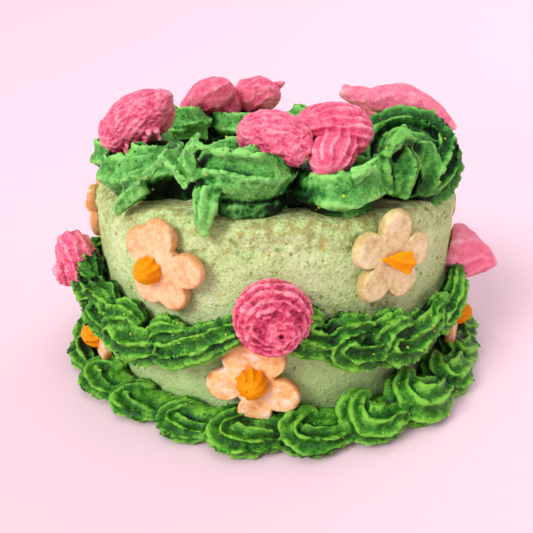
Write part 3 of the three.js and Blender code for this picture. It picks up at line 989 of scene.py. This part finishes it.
def rosette(number):
    """A spiral in wall measures: its radius shrinks to nothing while it comes out, and its middle drifts down
    and to the side, where the nozzle was pulled away."""
    size, reach, teeth, depth, turns = ROSETTES[number]
    t = np.linspace(0, 1, 170)
    skew = chance.uniform(-1, 1, 3)
    angle = np.radians(200 - 40 * skew[0]) + 2 * np.pi * turns * t
    thick = 5.2 * size * np.minimum(1, 0.45 + 4 * t) * (1 - 0.72 * t**2.4)
    coil = 4.9 * size * (1 - t) ** 0.75
    arc = BODY_RADIUS * math.radians(ROSETTE_AZIMUTHS[number]) + coil * np.cos(angle) + 3.2 * t**2
    level = ROSETTE_LEVELS[number] + coil * np.sin(angle) * 1.1 - 3.8 * t**1.8
    path = on_wall(arc, 3.4 + (reach - 5.4) * t**0.9, level)
    return rope(path, thick, teeth, depth, facing_out(arc), 1.3 * t + skew[1], around=140, wander=1.2)


WOOL_LAYERS = [(3.6, 0.4, 21), (1.6, 0.2, 22)]
SMOOTH_LAYERS = [(4.6, 0.5, 24), (1.8, 0.16, 25)]
for i, look in enumerate(ROSETTES):
    form = rosette(i) if look else cone_rosette(i)
    layers = WOOL_LAYERS if look else SMOOTH_LAYERS
    pink = PINK if i == 4 else MAGENTA if look else SOFT_PINK
    name, node = f"pink_rosette_{i + 1}", f"side_rosette_{i + 1}"
    wool = 0.34 if look else 0.0
    piped_piece(name, [form], 0.4, layers, pink, "pink_piping", node, tear=0.3, burr=0.4, wool=wool)
print("rosettes", [n for title, n in totals.items() if "rosette" in title], "triangles")

# %% [markdown]
# ## The biscuits
# Five round petals cut by a flower cutter, baked a little uneven, with softly rounded edges. The outline is
# the far side of five overlapping circles, and the height over it falls off only near the edge. The upper
# row stands flat against the wall, and the lower row leans on it with its foot out on the border.

# %% A flower biscuit and its place on the wall
PETAL_RADIUS = 4.85
PETAL_REACH = 8.2
BISCUIT_WAIST = 6.1
BISCUIT_THICKNESS = 3.2
EDGE_ROWS = 23
# Azimuth, level and turn of each biscuit, and how far each row leans.
BISCUITS = {
    "upper": [(-28.5, 46.8, 8), (29, 48.8, -4), (103, 46, 20), (171, 46.5, 50), (238, 47, 30), (265, 46, 18)],
    "lower": [(-5, 16, 36), (70, 16.5, 10), (139, 15.5, 30), (215, 16, 5), (295, 13.4, 24)],
}
LEANS = {"upper": 0, "lower": 6}
# The bearings of the petals: evenly spaced, and those of the three in front, which were cut unevenly.
EVEN_PETALS = [0, 72, 144, 216, 288]
PETALS_CUT = {
    "upper_1": [-8, 43, 138, 195, 262],
    "upper_2": [-4, 68, 148, 214, 284],
    "lower_1": [-6, 62, 140, 216, 290],
}


def against_wall(flat, azimuth, level, turn, lean):
    """Points of a biscuit lying face up, stood against the wall: turned in its own plane, tipped upright less
    its lean, moved out to the wall and turned round the axis."""
    flat = np.asarray(flat, float)
    spin, tip, round_axis = np.radians([90 + turn, 90 - lean, azimuth])
    x = flat[..., 0] * np.cos(spin) - flat[..., 1] * np.sin(spin)
    y = flat[..., 0] * np.sin(spin) + flat[..., 1] * np.cos(spin)
    y, z = y * np.cos(tip) - flat[..., 2] * np.sin(tip), y * np.sin(tip) + flat[..., 2] * np.cos(tip)
    y = y - (BODY_RADIUS + WALL_GAP + (PETAL_REACH + PETAL_RADIUS) * np.sin(np.radians(lean)))
    turned_x = x * np.cos(round_axis) - y * np.sin(round_axis)
    return np.stack([turned_x, x * np.sin(round_axis) + y * np.cos(round_axis), z + level], axis=-1)


def biscuit_surface(name, seed):
    """A closed form over the flower outline: at each bearing the farthest of five circles and of a round
    waist. Rows run from the middle of the back over the edge to the middle of the face: share s of the
    outline, and height by the root of 1 - s^22, lower in the creases between petals. The crisp rim gets a low
    relief."""
    theta = np.linspace(0, 2 * np.pi, 150, endpoint=False)
    uneven = 5 * np.array([0, 1, -1, 1, -1]) * math.sin(3 * seed)
    petals = np.radians(PETALS_CUT.get(name, EVEN_PETALS) + uneven)
    off = (theta[:, None] - petals[None, :] + np.pi) % (2 * np.pi) - np.pi
    inside = PETAL_RADIUS**2 - (PETAL_REACH * np.sin(off)) ** 2
    circle = PETAL_REACH * np.cos(off) + np.sqrt(np.maximum(0, inside))
    reach = np.where((inside > 0) & (np.abs(off) < 1), circle, 0)
    outline = (np.sum(reach**24, axis=1) + BISCUIT_WAIST**24) ** (1 / 24)
    outline = outline * (1 + 0.015 * np.sin(3 * theta + seed) + 0.01 * np.sin(7 * theta + 2 * seed))
    share = np.sin(np.linspace(0.05, 1, EDGE_ROWS + 1) * np.pi / 2)
    share = np.concatenate([share[:-1], [1.0], share[-2::-1]])[:, None]
    side = np.concatenate([-np.ones(EDGE_ROWS), [0], np.ones(EDGE_ROWS)])[:, None]
    swell = np.sqrt(np.maximum(0, 1 - share**22))
    crease = np.clip(1 - (outline - BISCUIT_WAIST) / 5, 0, 1) ** 2
    radius = share * outline[None, :]
    height = side * swell * (1 - 0.03 * crease[None, :] * share**2)
    level = BISCUIT_THICKNESS / 2 * (1 + height)
    flat = np.stack([radius * np.cos(theta), radius * np.sin(theta), level], axis=-1)
    rough = 1.6 if name.startswith("lower") else 1.0
    lumps = 0.16 * noise(flat + 37 * seed, 4.0, 31) + rough * 0.12 * noise(flat + 37 * seed, 1.4, 32)
    flat[..., 2] += lumps * (side > 0) * swell
    crisp = np.clip((share - 0.9) / 0.08, 0, 1)
    return flat, np.concatenate([(2.5 * lumps - 1.3 * crisp).ravel(), [0, 0]])


# %% All eleven on the wall
for row, seats in BISCUITS.items():
    for i, seat in enumerate(seats):
        name = f"{row}_{i + 1}"
        flat, relief = biscuit_surface(name, i + (10 if row == "lower" else 0))
        parts = (flat, [0, 0, 0], [0, 0, BISCUIT_THICKNESS + 0.1])
        points, faces = closed_form(*(against_wall(part, *seat, LEANS[row]) for part in parts))
        dough = BAKED_BISCUIT if row == "lower" else BLOND_BISCUIT if i == 1 else PALE_BISCUIT
        place_piece(f"flower_biscuit_{name}", points, faces, dough, "biscuit", [f"biscuit_{name}"], relief)
print("biscuit", totals["flower_biscuit_upper_1"], "triangles")

# %% [markdown]
# ## The yellow middles
# Each biscuit has a dab of yellow from a small star nozzle, pressed down and pulled away, so it is round
# with short points and a twisted tip. A short rope straight out from the biscuit makes it.

# %% Stars on the biscuits
STAR_SHIFTS = {"upper_1": (-2.9, -1.2), "lower_1": (-0.4, 0.8), "lower_5": (0.4, -1.6)}
STAR_SIZES = {"lower_1": 1.12, "lower_5": 1.3}
STAR_LAYERS = [(2.4, 0.18, 41), (0.9, 0.06, 42)]


def star_dab(row, number):
    """A straight rope out of the biscuit's face: full at the foot, thinning to a small tip that leans. One
    dab was dragged sideways over its biscuit instead, so it starts thin and ends broad."""
    name = f"{row}_{number + 1}"
    azimuth, level, turn = BISCUITS[row][number]
    skew = chance.uniform(-1, 1, 4)
    t = np.linspace(0, 1, 44)
    if name == "upper_2":
        path = np.stack([0.9 - 1.5 * t, 4.6 - 8.4 * t, BISCUIT_THICKNESS + 0.6 + 1.6 * t], axis=1)
        thick = 0.3 + 4.1 * t * (1 - 0.3 * t**6)
        points, faces = rope(path, thick, 5, 0.32, (0, 0, 1), 0.3, around=80, wander=0.5)
    else:
        lean = 0.6 * skew[:2, None] * t**2
        path = np.stack([*lean, BISCUIT_THICKNESS - 0.5 + 5.7 * t], axis=1)
        thick = 4.4 * STAR_SIZES.get(name, 1) * np.minimum(1, 0.84 + 1.2 * t) * (1 - t**2.0) ** 0.55
        points, faces = rope(path, thick, 10, 0.17, (1, 0, 0), 0.5 * t + skew[2], around=100, wander=0.3)
    side, rise = STAR_SHIFTS.get(name, (0, 0))
    azimuth = azimuth + math.degrees(side / BODY_RADIUS)
    return against_wall(points, azimuth, level + rise, turn, LEANS[row]), faces


for row, seats in BISCUITS.items():
    for i in range(len(seats)):
        name, node = f"yellow_star_{row}_{i + 1}", f"biscuit_centre_{row}_{i + 1}"
        dab = [star_dab(row, i)]
        piped_piece(name, dab, 0.3, STAR_LAYERS, YELLOW, "yellow_piping", node, tear=0.2, burr=0.5)
print("star", totals["yellow_star_upper_1"], "triangles")

# %% [markdown]
# ## The crown of swirls
# Ten big coils of pale green stand round the top edge. Each real one is a broad ribbon of frosting laid in
# two turns, with a sharp rim above and a ledge outside, round a low heap that closes the middle. A rope
# squashed to a ribbon and carried along a closing spiral makes it. The four in front were smeared while soft,
# and hang over the edge in tongues, lips and torn points. Those are short ropes through knots read off the
# cake one by one, because no rule makes them.

# %% Swirls as coiled ribbons
# Azimuth, ring, radius, height, start of the coil, tilt and the azimuth it tips towards, lift of the coil off
# the top; then the rope's radius, its teeth, their depth, and how far they are turned.
PLAIN_ROPE = (6.6, 5, 0.36, 0)
SWIRLS = [
    (-51.5, 47.4, 14.6, 18, 110, 7, -85, 1.0, 6.0, 4, 0.36, 0.1),
    (-9, 47.8, 13.9, 19, 150, 5, -60, 4.2, 6.4, 4, 0.24, 0),
    (20.8, 48, 13.7, 15, -10, 4, -70, 0.2, 5.9, 4, 0.36, 0.3),
    (56, 45.5, 18.2, 24, 60, 44, -10, 0.3, 8.2, 7, 0.36, 0),
    (93, 46, 15.8, 20, 80, 12, 93, 0, *PLAIN_ROPE),
    (129, 46, 15.4, 18, 140, 5, 129, 0, *PLAIN_ROPE),
    (165, 46, 15.6, 19, 40, 10, 165, 0, *PLAIN_ROPE),
    (201, 46, 15.6, 20.5, 250, 4, 201, 2, *PLAIN_ROPE),
    (237, 46, 15.8, 21.5, 330, 12, 237, 3.4, *PLAIN_ROPE),
    (274, 46, 15.6, 17.5, 100, 6, 274, 0, *PLAIN_ROPE),
]
RIBBON = 0.74
COIL_TURNS = 2.15


def tipped(points, centre, azimuth, degrees):
    """Points turned about a level line through the centre, so that their tops move towards an azimuth."""
    outward = polar(azimuth, 1.0, 0.0)
    side = np.array([-outward[1], outward[0], 0])
    local = points - centre
    turn = math.radians(degrees)
    parallel = np.outer(local @ side, side)
    return centre + parallel + (local - parallel) * math.cos(turn) + np.cross(side, local) * math.sin(turn)


def swirl_ropes(azimuth, ring, radius, height, start, tilt, towards, lift, fat, teeth, depth, turned):
    """A coil of two turns and a bit: the first turn keeps its width, then the coil closes in while the rope
    climbs and thins to a point. The rope is a ribbon, taller than thick. A low heap fills the middle, a small
    strand runs round under the ribbon, and a bed lies towards the cake's middle."""
    t = np.linspace(0, 1, 260)
    skew = chance.uniform(-1, 1, 4)
    close = np.clip((t - 0.4) / 0.6, 0, 1)
    close = close * close * (3 - 2 * close)
    coil = (radius - RIBBON * fat) * (1 - 0.97 * close) * (1 + 0.05 * np.sin(9 * t + 3 * skew[0]))
    thick = fat * np.minimum(1, 0.3 + 9 * t) * (1 - 0.5 * close) * (1 - 0.75 * t**10)
    climb = (height - fat - 4 - lift) * close
    level = BODY_HEIGHT + fat - 0.5 + lift + 1.0 * t + climb + 0.6 * np.sin(7 * t + 3 * skew[1])
    angle = np.radians(start) - 2 * np.pi * COIL_TURNS * t
    centre = polar(azimuth, ring, 0.0)
    spoke = np.stack([np.cos(angle), np.sin(angle), 0 * t], axis=1)
    path = centre + spoke * coil[:, None] + np.stack([0 * t, 0 * t, level], axis=1)
    middle = np.stack([0 * t, 0 * t, BODY_HEIGHT + 2 + (height - 12) * t], axis=1) + centre
    pivot = centre + [0, 0, BODY_HEIGHT + 8]
    path, middle = (tipped(p, pivot, towards, tilt) for p in (path, middle))
    spoke = tipped(spoke, np.zeros(3), towards, tilt)
    twist = turned + 0.2 * skew[2] * t
    low = centre + spoke[:120] * (radius - 6.8) * [1, 1, 0] + np.array([0, 0, BODY_HEIGHT + 2.6])
    bed = polar(azimuth + np.linspace(-19, 19, 30), 42.5, BODY_HEIGHT + 3)
    return [
        rope(path, thick, teeth, depth, spoke, twist, around=132, sharp=0.75, wander=0.3, squash=RIBBON),
        rope(middle[::8], 6.5 + 0 * t[::8], 6, 0.1, [1, 0, 0], around=32),
        rope(low, 3.4, 5, 0.2, [0, 0, 1], around=40),
        rope(bed, 5.4, 6, 0.2, [0, 0, 1], around=48),
    ]


def strand(knots, radii):
    """A short torn strand through knots of (azimuth, ring, level), with its own radius at each knot."""
    knots = np.asarray(knots, float)
    toward = polar(knots[:, 0].mean(), 1.0, 0.3)
    return rope(curve(polar(*knots.T), 30), curve(radii, 30), 5, 0.36, toward, around=32)


# %% The torn strands of the four swirls in front
# By the swirl's place in the list: the knots and radii of each tongue, lip, torn point and drape.
STRANDS = {
    0: [
        ([(-37, 57.6, 66.5), (-40, 59.6, 63.4), (-43, 61, 60), (-45.2, 61.6, 57)], [3.6, 3.2, 2.2, 0.8]),
        ([(-48, 57.4, 65), (-41, 59.2, 67), (-34.5, 59.4, 69.8), (-28, 59.4, 74)], [1.6, 2.4, 2.3, 1.5]),
        ([(-28.5, 59, 75), (-26.3, 60.6, 74.6), (-23.5, 61.2, 72.2), (-20.6, 60.4, 69)], [1.9, 1.3, 1.3, 2.0]),
    ],
    1: [
        ([(-16, 58.4, 67.5), (-16.2, 60.6, 64), (-16.6, 61.4, 60.6), (-17, 61.2, 57.2)], [4.4, 3.6, 2.6, 0.9]),
        ([(-10.5, 62, 66), (-9.6, 62.6, 64), (-8.6, 62.2, 62.4)], [0.9, 0.7, 0.35]),
        ([(-18.6, 56.6, 81.2), (-20.2, 58.2, 78.6), (-21.2, 58.6, 74.8), (-20, 58, 70)], [0.9, 1.9, 2.7, 3.6]),
        ([(-19.5, 57.6, 78.4), (-15, 58.8, 77.6), (-9, 59.4, 77), (-3, 59, 76.6)], [1.2, 1.1, 1.1, 0.7]),
        ([(-17, 58.6, 72), (-12, 60.2, 72.2), (-7, 60.8, 71.5), (-1, 59.6, 71)], [0.9, 1.3, 1.4, 0.8]),
    ],
    2: [([(19, 58.4, 70.6), (22, 59.2, 72.6), (25, 59.4, 75.4)], [2.4, 1.7, 0.4])],
    3: [
        ([(30.5, 54.6, 75), (30, 54.6, 70), (31, 55, 64.6)], [2.5, 4.0, 3.4]),
        ([(34, 52, 76.6), (37, 55, 73.6), (36.8, 56.2, 68.6), (36, 55.8, 63.2)], [2.4, 4.4, 5.4, 3.8]),
        ([(41, 52, 77), (46, 54.6, 74), (48, 55.8, 68.2), (47.4, 55.4, 62.2)], [2.6, 5.0, 6.0, 4.2]),
        ([(51, 51, 76.4), (57.5, 53.4, 71.6), (62.5, 54.4, 66), (58.5, 54.6, 61.4)], [3, 5.2, 5.4, 3.4]),
        ([(29, 56.8, 74.6), (31.5, 57, 77.4), (35.5, 56, 78.6), (41, 55.4, 77)], [1.5, 2.0, 2.2, 1.4]),
        ([(44, 56.4, 76.4), (47, 57.4, 74.6), (49, 57.8, 72)], [1.6, 2.2, 1.0]),
    ],
}
SWIRL_LAYERS = [(6.5, 0.5, 51), (2.4, 0.22, 52), (1.0, 0.2, 53)]
for i, measures in enumerate(SWIRLS):
    torn_strands = [strand(knots, radii) for knots, radii in STRANDS.get(i, [])]
    ropes = swirl_ropes(*measures) + torn_strands
    # The swirl at the right front takes the green with painted shade.
    green = SHADED_SWIRL_GREEN if i == 3 else SWIRL_GREEN
    name, node = f"green_swirl_{i + 1}", f"top_swirl_{i + 1}"
    piped_piece(name, ropes, 0.5, SWIRL_LAYERS, green, "swirl_piping", node, tear=1.3, burr=1.2, tatter=1.7)
print("swirls", [n for title, n in totals.items() if "swirl" in title], "triangles")

# %% [markdown]
# ## The pink dollops
# Short strokes of pink lie over the swirls, from a nozzle with many fine teeth, some curled, some frayed at
# the side where the bag was pulled away. Each is a short fat rope with fine ridges, or two or three that run
# into each other.

# %% Dollops as short finely ridged strokes
# Azimuth, ring and level of the middle, length, width, heading and pitch of the tip, where it is fullest, how
# quickly its ends close, teeth, their depth; then how far it is bowed and how many frayed threads it has.
DOLLOPS = [
    [(-59.2, 47.2, 77.9, 24.5, 14.2, 8, 32, 0.5, 0.3, 25, 0.05, 0.1, 12),
     (-50.5, 41.5, 84, 9, 8, -30, 30, 0.5, 0.4, 11, 0.08)],
    [(0.5, 47, 77.2, 20, 13, 170, 12, 0.45, 0.34, 17, 0.06, 0.1, 5)],
    [(20, 45, 79.2, 20.5, 13.4, 186, 14, 0.34, 0.4, 16, 0.14),
     (17, 50.5, 74.4, 13, 11.5, 250, -30, 0.45, 0.36, 11, 0.16)],
    [(71.5, 42.4, 80.9, 31, 9.6, -14, -16, 0.34, 0.62, 7, 0.08, 0.3)],
    [(125, 38.5, 80.8, 16, 8.4, 160, 14, 0.4, 0.55, 7, 0.1),
     (135, 38, 83, 6, 4.6, 160, 50, 0.4, 0.6, 5, 0.1),
     (119, 41.5, 77.4, 13, 9, 30, -42, 0.4, 0.5, 7, 0.1)],
    [(190, 44, 78.6, 19, 15, 4, 8, 0.44, 0.4, 8, 0.09),
     (181, 45, 82.6, 11, 5.4, 6, 30, 0.3, 0.7, 5, 0.1)],
    [(218, 45, 78.2, 26, 13.4, 8, 24, 0.62, 0.5, 8, 0.09),
     (209, 45, 77, 13, 14, 10, -40, 0.5, 0.42, 8, 0.09)],
]
STROKE_STATIONS = 110


def stroke(
    azimuth, ring, level, length, width, heading, pitch, crest, blunt, teeth, depth, bow=0.1, frayed=0
):
    """A bent stroke: the tip's direction from heading and pitch, the middle raised by the bow. The radius is
    the sine of a power of the place, so that it is fullest at its crest; the smaller blunt is, the rounder
    the ends. Frayed threads hang from one side, each a short thin rope that droops."""
    skew = chance.uniform(-1, 1, 3)
    t = np.linspace(0, 1, STROKE_STATIONS)
    yaw, pitch = np.radians([heading, pitch])
    tip = np.array([math.cos(pitch) * math.cos(yaw), math.cos(pitch) * math.sin(yaw), math.sin(pitch)])
    across = unit(np.cross([0, 0, 1.0], tip))
    above = np.cross(tip, across)
    path = polar(azimuth, ring, level) + np.outer(length * 0.94 * (t - 0.45), tip)
    path = path + np.outer(np.sin(np.pi * t) * width * bow, above)
    path = path + np.outer(np.sin(2 * np.pi * t + skew[0]) * width * 0.06, across)
    power = math.log(0.5) / math.log(crest)
    thick = 0.53 * width * np.sin(np.pi * np.clip(t, 0.004, 0.996) ** power) ** blunt
    ropes = [rope(path, thick, teeth, depth, above, 0.9 * t + skew[1], around=170, wander=1.1)]
    reach = np.linspace(0, 1, 12)[:, None]
    for k in range(frayed):
        row = int((0.2 + 0.65 * k / frayed + 0.04 * chance.uniform(-1, 1)) * (STROKE_STATIONS - 1))
        side = unit(-0.75 * across - 0.65 * above + 0.25 * chance.uniform(-1, 1, 3))
        root = path[row] + side * thick[row] * 0.72
        line = root + side * (thick[row] * 0.28 + 0.5 + chance.uniform(0, 1.0)) * reach
        line = line - np.array([0, 0, 0.8]) * reach**2
        ropes.append(rope(line, np.linspace(1.3, 0.45, 12), 3, 0.2, tip, around=16))
    return ropes


for i, lobes in enumerate(DOLLOPS):
    ropes = [part for lobe in lobes for part in stroke(*lobe)]
    layers = WOOL_LAYERS if i < 3 else SMOOTH_LAYERS
    pink = SOFT_PINK if i in (3, 4) else PINK
    name, node = f"pink_dollop_{i + 1}", f"top_dollop_{i + 1}"
    wool = 0.44 if i < 2 else 0.14
    piped_piece(name, ropes, 0.4, layers, pink, "pink_piping", node, tear=0.3, burr=0.4, wool=wool)
print("dollops", [n for title, n in totals.items() if "dollop" in title], "triangles")

# %% [markdown]
# ## Crumbs
# Small crumbs and grains lie all over the piping and the wall, yellow, green and ochre, most of them half
# sunk. Each is a rough ball of twenty faces at its true size, laid on a point drawn from the finished
# surfaces.

# %% Crumbs laid on the finished surfaces
GOLDEN = (1 + 5**0.5) / 2
BALL = unit(np.array([(-1, -GOLDEN, 0), (-1, GOLDEN, 0), (1, -GOLDEN, 0), (1, GOLDEN, 0)]))
BALL = np.concatenate([BALL, np.roll(BALL, 1, axis=1), np.roll(BALL, 2, axis=1)])
SIDE_LENGTH = 1.2


def ball_faces():
    """The twenty faces of the ball: every three corners that lie a side's length apart, turned outwards."""
    near = np.linalg.norm(BALL[:, None] - BALL[None, :], axis=2) < SIDE_LENGTH
    i, j, k = np.indices((12, 12, 12)).reshape(3, -1)
    joined = (i > j) & (j > k) & near[i, j] & near[j, k] & near[i, k]
    corners = np.stack([i, j, k], axis=1)[joined]
    a, b, c = (BALL[corners[:, n]] for n in range(3))
    inward = np.sum(np.cross(b - a, c - a) * a, axis=1) < 0
    corners[inward] = corners[inward][:, ::-1]
    return corners


def crumbs(name, kinds, count, sizes, material, slot):
    """Balls squeezed by random numbers, on random points of every piece whose name starts with one of the
    kinds."""
    spots = np.concatenate([p for title, _, p, _ in shapes if title.startswith(kinds)])
    spots = spots[spots[:, 2] > 1]
    spots = spots[(np.hypot(spots[:, 0], spots[:, 1]) > BODY_RADIUS - 1) | (spots[:, 2] > BODY_HEIGHT + 2)]
    chosen = spots[chance.integers(0, len(spots), count)]
    radius = chance.uniform(*sizes, (count, 1, 1)) * chance.uniform(0.6, 1.2, (count, 12, 1))
    points = chosen[:, None, :] + BALL[None] * radius * chance.uniform(0.6, 1.3, (count, 1, 3))
    faces = (ball_faces()[None] + 12 * np.arange(count)[:, None, None]).reshape(-1, 3)
    place_piece(name, points.reshape(-1, 3), [faces], material, slot)


crumbs("yellow_crumbs", ("green_swirl", "shell"), 420, (0.2, 0.45), CRUMB_YELLOW, "swirl_piping")
crumbs("green_crumbs", ("green_swirl", "shell"), 500, (0.3, 0.8), SWIRL_GREEN, "swirl_piping")
crumbs("wall_crumbs", ("frosted_drum",), 360, (0.25, 0.6), CRUMB_OCHRE, "frosting")
print("all", sum(totals.values()), "triangles in", len(totals), "pieces")

# %% [markdown]
# ## Painted shade in the hollows
# In the real piping the deep places between swirls and shells are nearly black, because hardly any light comes
# back out of them. Here that shade is painted into the colour. How deep a point lies is measured over all
# pieces
# at once: the surface area round a spot a little in front of the point, counted in a grid of cells and
# blurred.
# What it says is taken off the relief, so the same ramps paint the hollows dark.

# %% How crowded the space in front of each point is
CELL = 1.6
CORNER = np.array([-96.0, -96.0, -16.0])
CELLS = (120, 120, 76)
BLUR = ((1, -2), (2, -1), (3, 0), (2, 1), (1, 2))
AHEAD = 2.8
# The area in mm2 in a cell at which a point starts to take painted shade and takes it in full, and how much
# painted shade that takes off its relief, by the start of the piece's name.
PAINTED_SHADE_BY_PIECE = {
    "frosted_drum": (1.9, 4.0, 0.8),
    "pink_rosette": (1.5, 3.4, 0.6),
    "flower": (1.2, 3.2, 0.6),
    "green": (0.95, 2.0, 1.4),
    "shell": (0.85, 2.0, 1.1),
    "": (1.0, 2.6, 0.9),
}
# Inside which ring and under which level the swirls get full painted shade anyway: the top of the drum between
# them.
SHADE_RING, SHADE_LEVEL = 58.5, 68


def cell_numbers(points):
    """The number of the grid cell that each point lies in."""
    place = np.clip(((points - CORNER) / CELL).astype(int), 0, np.array(CELLS) - 1)
    return np.ravel_multi_index(place.T, CELLS)


def area_grid():
    """The area of all pieces in each cell: every point brings an equal share of its mesh's area. Then a blur
    of five cells, weighted 1 2 3 2 1, in each direction."""
    total = np.zeros(CELLS)
    for _, mesh, points, _ in shapes:
        area = np.empty(len(mesh.polygons), np.float32)
        mesh.polygons.foreach_get("area", area)
        share = area.sum() / MM**2 / len(points)
        total += share * np.bincount(cell_numbers(points), minlength=total.size).reshape(CELLS)
    for axis in range(3):
        total = sum(weight * np.roll(total, k, axis=axis) for weight, k in BLUR) / 9
    return total


def mesh_normals(mesh):
    """The outward direction at each point of a finished mesh."""
    normals = np.empty(len(mesh.vertices) * 3, np.float32)
    mesh.vertex_normals.foreach_get("vector", normals)
    return normals.reshape(-1, 3)


crowd = area_grid().ravel()
half_steps = (np.indices((2, 2, 2)).reshape(3, -1).T - 0.5) * CELL
for name, mesh, points, relief in shapes:
    seen = points + AHEAD * mesh_normals(mesh)
    value = sum(crowd[cell_numbers(seen + step)] for step in half_steps) / len(half_steps)
    start, full, gain = next(PAINTED_SHADE_BY_PIECE[kind] for kind in PAINTED_SHADE_BY_PIECE if name.startswith(kind))
    painted_shade = np.clip((value - start) / (full - start), 0, 1)
    if name.startswith("green_swirl"):
        ring = np.hypot(points[:, 0], points[:, 1])
        inner = np.clip((SHADE_RING - ring) / 4, 0, 1) * np.clip((SHADE_LEVEL - points[:, 2]) / 4, 0, 1)
        painted_shade = np.maximum(painted_shade, inner)
    # The painted shade is taken off the relief, so the ramps paint these places darker.
    mesh.attributes["relief"].data.foreach_set("value", (relief - gain * painted_shade).astype(np.float32))
    if name in ("frosted_drum", "shell_border", "green_swirl_2", "pink_rosette_1"):
        spread = np.percentile(value, [5, 50, 95]).round(2)
        print(name, "area in front", spread, "painted_shade", painted_shade.mean().round(3))

# %% [markdown]
# ## Last checks
# The box of the visual model is set against the box of the imported model, so that any growth shows.

# %% Write both boxes and finish
visual_low, visual_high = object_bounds()
for axis in range(3):
    low, high = visual_low[axis] - cad_low[axis], visual_high[axis] - cad_high[axis]
    side = cad_high[axis] - cad_low[axis]
    moved = (round(low / MM, 2), round(high / MM, 2))
    print("xyz"[axis], "moved by", *moved, "mm on a side of", round(side / MM, 1))
